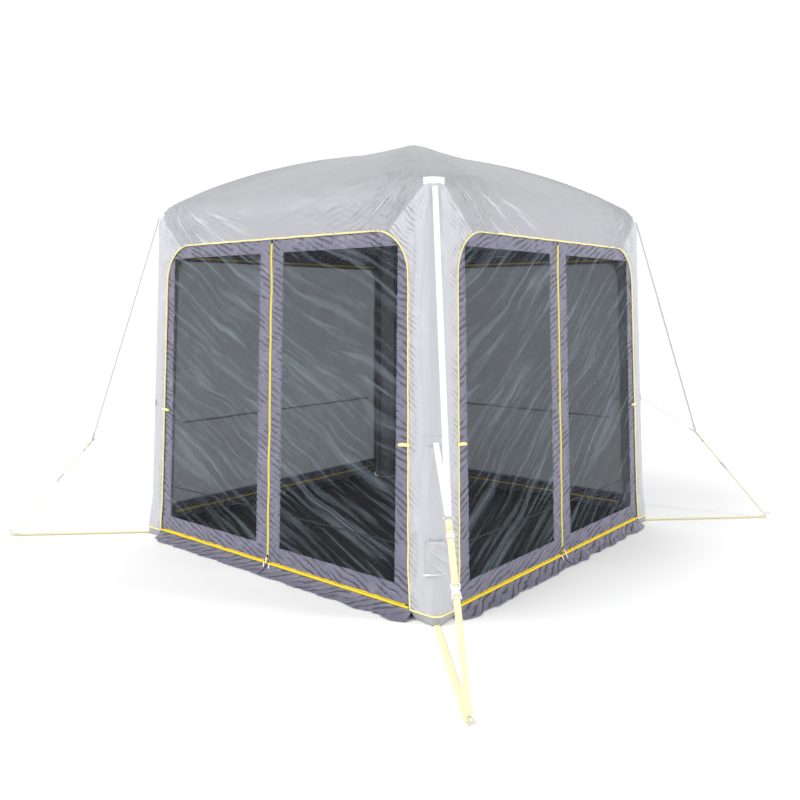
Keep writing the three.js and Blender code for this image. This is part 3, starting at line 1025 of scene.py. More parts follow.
class GuyLineOperator(bpy.types.Operator):
    """Lays the webbing of the guy lines, from the legs to the rings and on to the pegs"""

    bl_idname = "screenhouse.guy_lines"
    bl_label = "Guy lines"

    def execute(self, context):
        for corner, name in enumerate(CORNERS):
            self.add_corner(corner, name)
        return {"FINISHED"}

    def add_corner(self, corner, name):
        ring_to_guy = between(GUY_END, RING_PLACE, RING_GAP)[1]
        runs = {
            "shoulder_strap": (*between(SHOULDER_TIE, RING_PLACE, RING_GAP), "white"),
            "leg_strap": (*between(MID_LEG_TIE, RING_PLACE, RING_GAP), "white"),
            "guy_strap": (ring_to_guy, GUY_END, "yellow"),
            "ground_strap": (FOOT_TIE, GROUND_END, "yellow"),
        }
        for kind, (start, end, tint) in runs.items():
            self.add_strap(corner, f"{kind}_{name}", start, end, tint, STRAP_LENGTHS[kind])

    def add_strap(self, corner, node, start, end, tint, length):
        steps = 24
        tied, pulled = (diagonal_place(corner, out, 0, up) for out, up in (start, end))
        points = [tied.lerp(pulled, i / steps) for i in range(steps + 1)]
        across = diagonal_place(corner, 0, 1, 0)
        section = section_of(sizes().webbing, sizes().webbing_thick)
        web = sweep_into(bmesh.new(), points, section, across)
        strap = add_piece(node + "_web", web, f"{tint}_web", replaces=[node])


class GuyHardwareOperator(bpy.types.Operator):
    """Makes the rings, loops, keepers, buckles and pegs of the guy lines"""

    bl_idname = "screenhouse.guy_hardware"
    bl_label = "Guy hardware"

    def execute(self, context):
        for corner, name in enumerate(CORNERS):
            self.add_ring(corner, name)
            self.add_loops(corner, name)
            self.add_keeper(corner, name)
            self.add_buckle(corner, name)
            self.add_peg(corner, name)
        return {"FINISHED"}

    def add_ring(self, corner, name):
        """A wire ring, flat where the webbing pulls and round at its ends."""
        half_bar, bend, steps = 0.0105, RING_BEND, 12
        place = guy_matrix(corner, 0)
        path = []
        for end in (1, -1):
            for i in range(steps + 1):
                turn = math.pi * i / steps
                across = half_bar + bend * math.sin(turn)
                path.append(place @ Vector((end * bend * math.cos(turn), end * across, 0)))
        ring = tube(path, RING_WIRE, 12, closed=True)
        add_piece(f"guy_ring_{name}_wire", ring, "metal", replaces=[f"guy_ring_{name}"])

    def add_loops(self, corner, name):
        """The end of each strap turned round the ring's wire and sewn back on itself."""
        across = diagonal_place(corner, 0, 1, 0)
        section = section_of(sizes().webbing - 0.001, 0.0012)
        along = guy_axes(corner)[0]
        ring = diagonal_place(corner, RING_PLACE[0], 0, RING_PLACE[1])
        ends = (("shoulder", SHOULDER_TIE, -1), ("leg", MID_LEG_TIE, -1), ("guy", GUY_END, 1))
        for kind, far, way in ends:
            tint = "yellow" if kind == "guy" else "white"
            wire = ring + along * RING_BEND * way
            target = diagonal_place(corner, far[0], 0, far[1])
            pull = (target - ring).normalized()
            off = pull.cross(across)
            gap, sewn, steps = 0.0032, 0.055, 8
            outer = [ring + pull * reach for reach in (sewn, RING_GAP + 0.006)]
            path = [spot + off * gap for spot in outer]
            for i in range(steps + 1):
                turn = math.pi * i / steps
                path.append(wire + off * gap * math.cos(turn) - pull * gap * math.sin(turn))
            path += [spot - off * gap for spot in outer[::-1]]
            loop = sweep_into(bmesh.new(), path, section, across)
            add_piece(f"{kind}_strap_loop_{name}", loop, f"{tint}_web")

    def add_keeper(self, corner, name):
        """A moulded band that holds the doubled strap together just below the ring."""
        half_wide, half_thick, steps = 0.0185, 0.0048, 8
        path = []
        for end in (1, -1):
            for i in range(steps + 1):
                turn = math.pi * i / steps - math.pi / 2
                x = end * (half_wide - half_thick + half_thick * math.cos(turn))
                path.append(Vector((0, x, end * half_thick * math.sin(turn))))
        place = guy_matrix(corner, KEEPER_ALONG)
        band = [place @ p for p in path]
        keeper = sweep_into(bmesh.new(), band, section_of(0.02, 0.0022), guy_axes(corner)[0], closed=True)
        add_piece(f"strap_keeper_{name}", keeper, "buckle")

    def add_buckle(self, corner, name):
        """A moulded adjuster: two flared ends with webbing bars and a narrow waist between."""
        place = guy_matrix(corner, BUCKLE_ALONG)
        shape = bmesh.new()
        length, flare, waist, steps = 0.064, 0.0225, 0.0165, 16
        for off in (1, -1):
            for hand in (1, -1):
                rail = []
                for i in range(steps + 1):
                    share = 2 * i / steps - 1
                    wide = waist + (flare - waist) * abs(share) ** 1.6 - 0.002
                    rail.append(place @ Vector((share * length / 2, hand * wide, off * 0.0035)))
                sweep_into(shape, rail, section_of(0.0062, 0.004), guy_axes(corner)[1])
        bars = ((-0.030, 0.0045), (0.030, 0.0045), (-0.013, 0.0065), (0.012, 0.0065))
        for along, size in bars:
            for off in (1, -1):
                bar = (size, 2 * waist + 0.004 + 0.3 * abs(along), 0.0036)
                box_into(shape, bar, place @ Matrix.Translation((along, 0, off * 0.0038)), 0.0012)
        for off in (1, -1):
            pad = place @ Matrix.Translation((0, 0, off * 0.0046))
            box_into(shape, (0.02, 0.022, 0.0028), pad, 0.001)
        node = f"guy_buckle_{name}"
        add_piece(node + "_body", shape, "buckle", body=f"buckle_{name}", replaces=[node])

    def add_peg(self, corner, name):
        """The bent steel head of a ground peg, standing over the webbing ends."""
        knots = [(0, 0.0005), (0, 14), (1, 27), (8, 37), (18, 39), (27, 33), (30, 24)]
        controls = [diagonal_place(corner, PEG_OUT + out * MM, 0, up * MM) for out, up in knots]
        rod = tube(smooth_line(controls, 6), PEG_WIRE, 14)
        add_piece(f"ground_peg_{name}_rod", rod, "metal", replaces=[f"ground_peg_{name}"])
        across = diagonal_place(corner, 0, 1, 0)
        shape = bmesh.new()
        for up, rise in ((GUY_END[1], 0.058), (GROUND_END[1], 0.0024)):
            start = diagonal_place(corner, GUY_END[0] - 0.05, 0, up + rise)
            end = diagonal_place(corner, GUY_END[0] - 0.002, 0, up + 0.0034)
            sweep_into(shape, [start, start.lerp(end, 0.5), end], section_of(0.026, 0.0012), across)
        add_piece(f"strap_ends_{name}", shape, "yellow_web")


def smooth_line(controls, steps):
    """A Catmull-Rom curve through points, with a number of steps between each two."""
    controls = [Vector(p) for p in controls]
    padded = [2 * controls[0] - controls[1], *controls, 2 * controls[-1] - controls[-2]]
    line = []
    for a, b, c, d in zip(padded, padded[1:], padded[2:], padded[3:]):
        for i in range(steps):
            t = i / steps
            bend = (2 * a - 5 * b + 4 * c - d) * t * t + (3 * b - 3 * c + d - a) * t**3
            line.append(0.5 * (2 * b + (c - a) * t + bend))
    line.append(controls[-1])
    return line


def seam_height(along):
    """How far up the skin the roof ends, a given way along a side from its middle."""
    along = np.abs(along)
    arch_inset = OPENING_HALF - OPENING_RADIUS
    over = np.clip(along - arch_inset, 0, OPENING_RADIUS)
    arch = OPENING_TOP - OPENING_RADIUS + np.sqrt(OPENING_RADIUS**2 - over**2)
    start = OPENING_TOP - OPENING_RADIUS + math.sqrt(OPENING_RADIUS**2 - (SEAM_START - arch_inset) ** 2)
    slope = (SEAM_SHOULDER - start) / (WALL_RUN - SEAM_START)
    return np.where(along <= SEAM_START, arch, start + slope * (along - SEAM_START))


def roof_relief(along, up, seed):
    """Tension creases of a roof panel: fans out of the shoulders and gathers over the piping."""
    height = sizes().roof_crease
    relief = 0
    for hand, offset in ((1, 0), (-1, 7)):
        shoulder = fan(along, up, (hand * 1.22, 2.36), 0.75, 0.13, seed + offset)
        relief = relief + 1.0 * height * shoulder
        relief = relief + 0.7 * height * fan(along, up, (hand * 1.0, 1.95), 0.55, 0.2, seed + offset + 3)
    near_edge = np.exp(-np.clip(up - OPENING_TOP, 0, None) / 0.05)
    gathers = creases(along / 0.05 + 0.5 * waves(up / 0.1, seed + 21), seed + 20, 0.4)
    near_arch = 0.35 + 0.65 * smooth(np.abs(along), 0.3, 0.9)
    relief = relief + 0.3 * height * near_edge * near_arch * gathers
    slack = waves(along / 0.5 + up, seed + 30) * waves(up / 0.33 - 0.4 * along, seed + 31)
    calm = 1 - 0.65 * smooth(up, 2.28, 2.45)
    return (relief + 0.45 * height * slack * smooth(up, 2.0, 2.2)) * calm


class RoofOperator(bpy.types.Operator):
    """Makes the four sewn panels of the roof, each with its valance over a wall"""

    bl_idname = "screenhouse.roof"
    bl_label = "Roof"

    def execute(self, context):
        crown = EaveArc(sizes().eave_round).crown
        columns, rows = 200, 170
        for side, name in enumerate(SIDES):
            along = WALL_RUN * np.sin(np.linspace(-math.pi / 2, math.pi / 2, columns))
            along = 0.55 * along + 0.45 * np.linspace(-WALL_RUN, WALL_RUN, columns)
            share = np.linspace(0, 1, rows) ** 1.35
            across, level = np.meshgrid(along, share)
            low = seam_height(across)
            up = low + (crown - 0.004 - low) * level
            edge = smooth(WALL_RUN - np.abs(across), 0, 0.05) * smooth(crown - up, 0.02, 0.25)
            on_seam = smooth(np.abs(across), SEAM_START - 0.03, SEAM_START + 0.03)
            edge = edge * (1 - on_seam * (1 - smooth(up - low, 0.0, 0.05)))
            relief = roof_relief(across, up, 40 + side) * edge
            uv = np.stack([across, up], axis=-1)
            cut = grid_mesh(skin(side, across, up), uv)
            bpy.data.meshes.remove(cut)
            mesh = grid_mesh(relieved(skin, side, across, up, relief), uv)
            panel = add_piece(f"roof_panel_{name}", mesh, "roof", replaces=["roof_canopy"])
            thicken(panel, 0.001)
        self.add_ridge_seams(crown)
        return {"FINISHED"}

    def add_ridge_seams(self, crown):
        """The sewn seams where two roof panels meet over a beam."""
        lines = []
        for corner in range(4):
            up = np.linspace(SEAM_SHOULDER + 0.01, crown - 0.03, 160)
            for offset in (-0.006, 0.006):
                along = np.full_like(up, offset)
                lines.append(relieved(corner_skin, corner, along, up, 0.0006))
        add_piece("ridge_stitching", row_mesh(lines, 0.009, 0.006, 0.0014, "white_web"))


def sleeve_edge(height):
    """The edge of a leg sleeve, along from the corner and up the skin, for a share of its length."""
    arch_inset = OPENING_HALF - OPENING_RADIUS
    straight = OPENING_TOP - OPENING_RADIUS - SLEEVE_FOOT
    last = math.acos((SEAM_START - arch_inset) / OPENING_RADIUS)
    bend = OPENING_RADIUS * last
    run = height * (straight + bend)
    turn = np.clip((run - straight) / OPENING_RADIUS, 0, last)
    across = arch_inset + OPENING_RADIUS * np.cos(turn)
    arch = OPENING_TOP - OPENING_RADIUS + OPENING_RADIUS * np.sin(turn)
    return WALL_RUN - across, np.where(run < straight, SLEEVE_FOOT + run, arch)


class SleeveOperator(bpy.types.Operator):
    """Makes the four leg sleeves, gathered along their piped edges"""

    bl_idname = "screenhouse.sleeves"
    bl_label = "Leg sleeves"

    def execute(self, context):
        for corner, name in enumerate(CORNERS):
            self.add_sleeve(corner, name)
        return {"FINISHED"}

    def add_sleeve(self, corner, name):
        columns, rows = 61, 460
        share, height = np.meshgrid(np.linspace(-1, 1, columns), np.linspace(0, 1, rows))
        edge_along, edge_up = sleeve_edge(height)
        top_along = edge_along[-1:] * share[-1:]
        top_up = seam_height(WALL_RUN - np.abs(top_along))
        along = edge_along * share
        blend_top = edge_up + (top_up - edge_up[-1:]) * height
        up = np.where(height > 0, blend_top, SLEEVE_FOOT)
        from_top = seam_height(WALL_RUN - np.abs(along)) - up
        relief = self.relief(along, up, edge_along, 80 + 10 * corner) * smooth(from_top, 0, 0.04)
        points = relieved(corner_skin, corner, along, up, relief)
        mesh = grid_mesh(points, np.stack([along, up], axis=-1))
        piece = add_piece(f"leg_sleeve_{name}_cloth", mesh, "sleeve", replaces=[f"leg_sleeve_{name}"])
        thicken(piece, 0.001)
        lines = []
        for hand in (-1, 1):
            line_along, line_up = sleeve_edge(np.linspace(0.004, 0.97, 420))
            inset = line_along - 0.016
            relief = self.relief(hand * inset, line_up, line_along, 80 + 10 * corner) + 0.0006
            lines.append(relieved(corner_skin, corner, hand * inset, line_up, relief))
        add_piece(f"sleeve_stitching_{name}", row_mesh(lines, 0.008, 0.005, 0.0012, "white_web"))

    def relief(self, along, up, edge_along, seed):
        """Short slanting gathers beside each piped edge, and long soft folds over the beam."""
        height = sizes().sleeve_crease
        relief = 0
        for hand, offset in ((-1, 0), (1, 4)):
            from_edge = np.clip(edge_along - hand * along, 0, None)
            slant = up / 0.045 - 0.9 * from_edge / 0.045
            gather = creases(slant + 0.6 * waves(up / 0.21, seed + offset + 1), seed + offset, 0.4)
            fade = np.exp(-from_edge / 0.045) * smooth(from_edge, 0.0, 0.012)
            relief = relief + height * fade * gather * (0.65 + 0.35 * waves(up / 0.4, seed + 9))
        hollow = smooth(np.abs(along), 0.03, 0.075) * (1 - smooth(np.abs(along), 0.09, 0.15))
        relief = relief - 0.5 * height * hollow
        relief = relief + 0.45 * height * waves(along / 0.05 + 0.5 * waves(up / 0.9, seed + 6), seed + 5)
        shoulder = fan(along, up, (0.0, 2.25), 0.22, 0.3, seed + 8)
        return relief + 0.9 * height * shoulder


class PipingOperator(bpy.types.Operator):
    """Runs the pale piping round each opening and round the foot of each leg"""

    bl_idname = "screenhouse.piping"
    bl_label = "Piping"

    def execute(self, context):
        for side, name in enumerate(SIDES):
            along, up = self.opening_path()
            points = relieved(skin, side, along, up, 0.0012)
            add_piece(f"opening_piping_{name}", tube(points, sizes().piping), "piping")
        for corner, name in enumerate(CORNERS):
            along = np.linspace(-0.1646, 0.1646, 60)
            up = np.full_like(along, SLEEVE_FOOT + 0.002)
            points = relieved(corner_skin, corner, along, up, 0.0016)
            add_piece(f"foot_piping_{name}", tube(points, sizes().piping * 0.85), "piping")
        return {"FINISHED"}

    def opening_path(self):
        """Up one edge of the opening, over its arch and down the other."""
        inset = OPENING_HALF - OPENING_RADIUS
        straight = np.linspace(SLEEVE_FOOT, OPENING_TOP - OPENING_RADIUS, 90)
        turn = np.linspace(0, math.pi / 2, 18)[1:]
        bend = inset + OPENING_RADIUS * np.cos(turn)
        across = np.concatenate([np.full_like(straight, OPENING_HALF), bend])
        up = np.concatenate([straight, OPENING_TOP - OPENING_RADIUS + OPENING_RADIUS * np.sin(turn)])
        middle = np.linspace(inset, -inset, 60)[1:-1]
        along = np.concatenate([across, middle, -across[::-1]])
        way_up = np.concatenate([up, middle, up[::-1]])
        wobble = 0.0012 * waves(along / 0.25, 5) + 0.0012 * waves(way_up / 0.3, 6)
        level = np.concatenate([up, np.full_like(middle, OPENING_TOP), up[::-1]])
        inward = smooth(np.abs(along), 0, 0.9) * np.sign(along)
        return along - wobble * inward, level + 0.6 * wobble


def half_wall_relief(across, up, seed):
    """Relief of half a mesh wall: gathered borders round a pane with long slanting folds."""
    size = sizes()
    reach = np.abs(across)
    inside = (
        smooth(reach, PANE_INNER - 0.008, PANE_INNER + 0.02)
        * (1 - smooth(reach, PANE_OUTER - 0.02, PANE_OUTER + 0.008))
        * smooth(up, PANE_FOOT - 0.008, PANE_FOOT + 0.02)
        * (1 - smooth(up, PANE_TOP - 0.02, PANE_TOP + 0.008))
    )
    side_way = np.sign(reach - 0.5)
    tall = creases(up / 0.06 + side_way * 0.45 * reach / 0.06 + 0.5 * waves(up / 0.3, seed + 1), seed)
    wide = creases(across / 0.07 - 0.9 * up / 0.07 + 0.5 * waves(across / 0.3, seed + 3), seed + 2)
    top_or_foot = np.maximum(smooth(up, PANE_TOP - 0.02, PANE_TOP + 0.01), 1 - smooth(up, 0.12, 0.17))
    gathers = 0.75 - tall * (1 - top_or_foot) - wide * top_or_foot
    slope = 0.6
    wander = waves((across - slope * up) / 0.5, seed + 5)
    folds = creases((up + slope * across) / 0.2 + 0.5 * wander, seed + 4)
    swell = np.sin(math.pi * np.clip((reach - PANE_INNER) / (PANE_OUTER - PANE_INNER), 0, 1))
    folds = folds * (0.5 + 0.5 * waves((across - up) / 0.9, seed + 6))
    hidden = (1 - smooth(reach, 1.06, 1.09)) * (1 - smooth(up, 1.97, 1.99))
    edge = smooth(reach, ZIP_GAP, 0.02)
    border_part = size.border_crease * gathers * (1 - inside) * edge
    pane_part = size.pane_crease * folds * inside * (0.4 + 0.6 * swell)
    return (border_part + pane_part) * hidden


class DoorOperator(bpy.types.Operator):
    """Makes the two mesh walls: gathered borders and mesh panes, one half to each door leaf"""

    bl_idname = "screenhouse.doors"
    bl_label = "Mesh doors"

    def execute(self, context):
        for side in MESH_SIDES:
            for hand, way in (("left", -1), ("right", 1)):
                self.add_half(side, hand, way)
        return {"FINISHED"}

    def add_half(self, side, hand, way):
        name = SIDES[side]
        edges = (ZIP_GAP, PANE_INNER, PANE_OUTER, SHEET_HALF)
        levels = (DOOR_FOOT + MM, PANE_FOOT, PANE_TOP, SHEET_TOP)
        near = stepped(*zip(edges, edges[1:], (10, 66, 12)))
        up = stepped(*zip(levels, levels[1:], (11, 290, 14)))
        a, b = np.meshgrid(np.sort(way * near), up)
        seed = 200 + 40 * side + 7 * way
        relief = half_wall_relief(a, b, seed)
        points = relieved(wall_face, side, a, b, relief)
        uv = np.stack([a * (1 if side == 0 else -1), b], axis=-1)
        reach, level = middles(a), middles(b)
        pane = (reach > PANE_INNER) & (reach < PANE_OUTER) & (level > PANE_FOOT) & (level < PANE_TOP)
        stood_for = [f"{name}_door_frame", f"{name}_door_leaf_{hand}"]
        cloth = grid_mesh(points, uv, ~pane)
        border = add_piece(f"{name}_door_border_{hand}", cloth, "border", body=None, replaces=stood_for)
        # The front net's folds lie flatter than the right one's, so its weave is laid turned.
        lie = math.radians(-13 if side == 0 else 0)
        u, v = uv[..., 0], uv[..., 1]
        net_u = u * math.cos(lie) - v * math.sin(lie)
        net_uv = np.stack([net_u, u * math.sin(lie) + v * math.cos(lie)], axis=-1)
        net = add_piece(f"{name}_mesh_pane_{hand}", grid_mesh(points, net_uv, pane), "mesh", body=None)
        for piece in (border, net):
            fold(piece, side, hand, way)
        self.add_pane_stitches(side, hand, way, seed)
        self.add_seam(side, hand, way, seed)

    def line_points(self, side, a, b, seed, lift):
        relief = half_wall_relief(a, b, seed) + lift
        return relieved(wall_face, side, a, b, relief)

    def add_pane_stitches(self, side, hand, way, seed):
        lines = []
        for margin in (0.006, 0.012):
            left, right = PANE_INNER - margin, PANE_OUTER + margin
            low, high = PANE_FOOT - margin, PANE_TOP + margin
            for reach in (left, right):
                b = np.linspace(low, high, 320)
                lines.append(self.line_points(side, np.full_like(b, way * reach), b, seed, 0.0005))
            for level in (low, high):
                a = np.linspace(way * left, way * right, 160)
                lines.append(self.line_points(side, a, np.full_like(a, level), seed, 0.0005))
        mesh = row_mesh(lines, 0.01, 0.006, 0.0011, "border")
        fold(add_piece(f"{SIDES[side]}_pane_stitching_{hand}", mesh, body=None), side, hand, way)

    def add_seam(self, side, hand, way, seed):
        """The dark tape across the foot of the pane."""
        a = np.linspace(way * PANE_INNER, way * PANE_OUTER, 90)
        points = self.line_points(side, a, np.full_like(a, PANE_TAPE_HEIGHT), seed, 0.0008)
        tape = sweep_into(bmesh.new(), points, section_of(0.007, 0.0009), (0, 0, 1))
        piece = add_piece(f"{SIDES[side]}_pane_tape_{hand}", tape, "floor", body=None)
        fold(piece, side, hand, way)


def fold(piece, side, hand, way):
    """Works out the door's slanting fold line for a piece of a mesh wall, then bakes the piece's transform
    without bending it.
    """
    top = Vector(wall_face(side, way * FOLD_TOP[0], FOLD_TOP[1]))
    foot = Vector(wall_face(side, way * FOLD_FOOT[0], FOLD_FOOT[1]))
    middle = (top + foot) / 2
    line = (foot - top).normalized()
    towards_leaf = Vector(wall_face(side, way * FOLD_TOP[0], FOLD_FOOT[1])) - middle
    towards_leaf = (towards_leaf - line * towards_leaf.dot(line)).normalized()
    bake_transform(piece)


def skirt_place(side, across, drop, seed):
    """A point of a skirt: 0 at its top edge, 1 at its hem on the ground."""
    reach = sizes().skirt_reach
    ruffle = waves(across / 0.3 + 0.3 * drop, seed) * 0.012
    broken = 0.5 + 0.5 * waves(across / 0.45, seed + 3)
    ruffle = ruffle + waves(across / 0.1 - 0.5 * drop, seed + 1) * 0.008 * broken
    out = SHEET_FACE + (reach - SHEET_FACE) * drop**1.5 + ruffle * drop**1.2
    corner_pull = smooth(np.abs(across), 1.02, 1.12) * 0.02
    up = SKIRT_TOP * (1 - drop) ** 1.15 + 0.0015 * drop * (1 + waves(across / 0.11, seed + 2)) + 0.001
    return wall_place(side, across, out - corner_pull * drop, up)


class SkirtOperator(bpy.types.Operator):
    """Makes the ruffled skirts that lie on the ground outside the walls"""

    bl_idname = "screenhouse.skirts"
    bl_label = "Skirts"

    def execute(self, context):
        for side, name in enumerate(SIDES):
            self.add_skirt(side, name)
        return {"FINISHED"}

    def add_skirt(self, side, name):
        """A skirt in two halves, split under the middle of its wall."""
        shape = bmesh.new()
        for way in (-1, 1):
            span = np.sort(way * np.linspace(0.004, 1.118, 190))
            a, drop = np.meshgrid(span, np.linspace(1, 0, 16))
            points = skirt_place(side, a, drop, 500 + side)
            part = grid_mesh(points, np.stack([a, drop * 0.09], axis=-1))
            shape.from_mesh(part)
            bpy.data.meshes.remove(part)
        mesh = bpy.data.meshes.new(name)
        shape.to_mesh(mesh)
        shape.free()
        # The plain walls carry their skirts in their own nodes.
        node = f"{name}_skirt" if side in MESH_SIDES else f"{name}_wall"
        stood_for = [node] if side in MESH_SIDES else []
        piece = add_piece(f"{name}_skirt_cloth", mesh, "border", replaces=stood_for)
        thicken(piece, 0.0008, 1)


class PlainWallOperator(bpy.types.Operator):
    """Makes the two plain walls with their borders"""

    bl_idname = "screenhouse.plain_walls"
    bl_label = "Plain walls"

    def execute(self, context):
        for side in PLAIN_SIDES:
            name = SIDES[side]
            across = np.linspace(-SHEET_HALF, SHEET_HALF, 150)
            a, b = np.meshgrid(across, np.linspace(SKIRT_TOP, SHEET_TOP, 140))
            points = relieved(wall_face, side, a, b, self.relief(a, b, 300 + side))
            uv = np.stack([a, b], axis=-1)
            border = (middles(b) < PANE_FOOT) | (middles(b) > PANE_TOP)
            cloth = grid_mesh(points, uv, ~border)
            panel = add_piece(f"{name}_wall_panel", cloth, "wall", replaces=[f"{name}_wall"])
            edge = add_piece(f"{name}_wall_border", grid_mesh(points, uv, border), "border")
            thicken(panel, 0.0008)
            thicken(edge, 0.0008)
            self.add_zip_lines(side, name, 300 + side)
        return {"FINISHED"}

    def relief(self, a, b, seed):
        hidden = 1 - smooth(np.abs(a), 1.06, 1.09)
        folds = 0.005 * waves(a / 0.4 + 0.2 * b, seed) + 0.003 * waves(b / 0.5 + a, seed + 1)
        creases = 0.004 * fan(a, b, (1.05, 1.95), 0.9, 0.25, seed + 2)
        creases = creases + 0.004 * fan(a, b, (-1.05, 1.95), 0.9, 0.25, seed + 3)
        low = 0.003 * waves(a / 0.06, seed + 4) * (1 - smooth(b, 0.1, 0.3))
        return (folds + creases + low) * hidden

    def add_zip_lines(self, side, name, seed):
        """Yellow zips inside each plain wall, along its top and foot, and its sewn seam."""
        shape = bmesh.new()
        for level in WALL_ZIP_HEIGHTS:
            a = np.linspace(-1.06, 1.06, 120)
            b = np.full_like(a, level)
            for lift in (-0.0022, 0.001):
                line = relieved(wall_face, side, a, b, self.relief(a, b, seed) + lift)
                sweep_into(shape, line, section_of(0.012, 0.0018), (0, 0, 1))
        add_piece(f"{name}_wall_zips", shape, "foot_zip")
        seam = bmesh.new()
        a = np.linspace(-1.0, 1.0, 100)
        b = np.full_like(a, WALL_SEAM_HEIGHT)
        for lift in (-0.0014, 0.0006):
            line = relieved(wall_face, side, a, b, self.relief(a, b, seed) + lift)
            sweep_into(seam, line, section_of(0.012, 0.0008), (0, 0, 1))
        add_piece(f"{name}_wall_seam", seam, "wall")


class ZipOperator(bpy.types.Operator):
    """Makes the centre and foot zips of the doors, each half on its own edge"""

    bl_idname = "screenhouse.zips"
    bl_label = "Zips"

    def execute(self, context):
        for side in MESH_SIDES:
            name = SIDES[side]
            for hand, way in (("left", -1), ("right", 1)):
                self.add_centre_half(side, name, hand, way)
                self.add_foot_half(side, name, hand, way)
            self.add_foot_rail(side, name)
        return {"FINISHED"}

    def add_centre_half(self, side, name, hand, way):
        """Half a centre zip: tape beside the border, teeth at its edge."""
        up = np.linspace(0.068, 1.972, 200)
        wobble = 0.004 * waves(up / 0.5, 11 + side) * smooth(up, 0.1, 0.4)
        points = wall_place(side, way * 0.0042 + wobble, SHEET_FACE + 0.0008, up)
        tape = sweep_into(bmesh.new(), points, section_of(0.0066, 0.0024), turned(side, 1, 0, 0))
        fold(add_piece(f"{name}_centre_zip_tape_{hand}", tape, "zip", body=None), side, hand, way)
        line = wall_place(side, way * 0.0016 + wobble, SHEET_FACE + 0.0026, up)
        teeth = row_mesh([line], 0.004, 0.0032, 0.0042, "zip")
        fold(add_piece(f"{name}_centre_zip_teeth_{hand}", teeth, body=None), side, hand, way)

    def add_foot_half(self, side, name, hand, way):
        """The upper half of a foot zip, on the edge of the door leaf."""
        across = way * np.linspace(0.012, 1.07, 160)
        up = np.full_like(across, FOOT_ZIP_HEIGHT)
        points = wall_place(side, across, SHEET_FACE + 0.0005, up)
        tape = sweep_into(bmesh.new(), points, section_of(0.007, 0.0018), (0, 0, 1))
        fold(add_piece(f"{name}_foot_zip_tape_{hand}", tape, "foot_zip", body=None), side, hand, way)

    def add_foot_rail(self, side, name):
        """The lower half of the foot zip with its rounded cover, sewn to the skirt."""
        rail = bmesh.new()
        for way in (-1, 1):
            across = way * np.linspace(0.004, 1.1, 160)
            up = 0.0535 + 0.0008 * waves(across / 0.2, 77)
            points = wall_place(side, across, SHEET_FACE + 0.0045, up)
            sweep_into(rail, points, section_of(0.0135, 0.0135, 10))
        add_piece(f"{name}_foot_zip_cover", rail, "foot_zip")


class SliderOperator(bpy.types.Operator):
    """Finishes the zip sliders and hangs a pull tag on each"""

    bl_idname = "screenhouse.sliders"
    bl_label = "Zip sliders"

    def execute(self, context):
        for side in MESH_SIDES:
            name = SIDES[side]
            self.finish_slider(side, f"{name}_centre_slider", f"{name}_centre_zip")
            for hand in ("left", "right"):
                self.finish_slider(side, f"{name}_foot_slider_{hand}", f"{name}_foot_zip_{hand}")
        return {"FINISHED"}

    def finish_slider(self, side, node, body):
        refinish(node, "slider")
        low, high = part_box(node)
        middle = (low + high) / 2
        outward = Vector(turned(side, 0, -1, 0))
        across = Vector(turned(side, 1, 0, 0))
        face = middle + outward * (abs((high - low).dot(outward)) / 2)
        wire = []
        for i in range(13):
            turn = math.pi * i / 12
            off = outward * (0.001 + 0.004 * math.sin(turn))
            wire.append(face + off + Vector((0, 0, 0.005 * math.cos(turn))))
        add_piece(node + "_bridge", tube(wire, 0.0022, 8), "slider", body=body)
        self.add_tag(node, body, face + outward * 0.005, outward, across)

    def add_tag(self, node, body, start, outward, across):
        """A flat pull tag that hangs from a slider, narrow at its ends."""
        length, width, steps = 0.034, 0.011, 14
        hang = (Vector((0, 0, -1)) + outward * 0.35 + across * 0.25).normalized()
        shares = [i / steps for i in range(steps + 1)]
        halves = [width / 2 * (0.18 + 0.82 * math.sin(math.pi * (0.12 + 0.8 * s)) ** 0.8) for s in shares]
        left = [start + hang * length * s - across * h for s, h in zip(shares, halves)]
        right = [start + hang * length * s + across * h for s, h in zip(shares, halves)]
        ring = left + right[::-1]
        thick = outward * 0.0011
        tag = bmesh.new()
        front = [tag.verts.new(p + thick) for p in ring]
        back = [tag.verts.new(p - thick) for p in ring]
        tag.faces.new(front)
        tag.faces.new(back[::-1])
        for i in range(len(ring)):
            j = (i + 1) % len(ring)
            tag.faces.new((front[i], front[j], back[j], back[i]))
        add_piece(node + "_tag", tag, "tag", body=body)


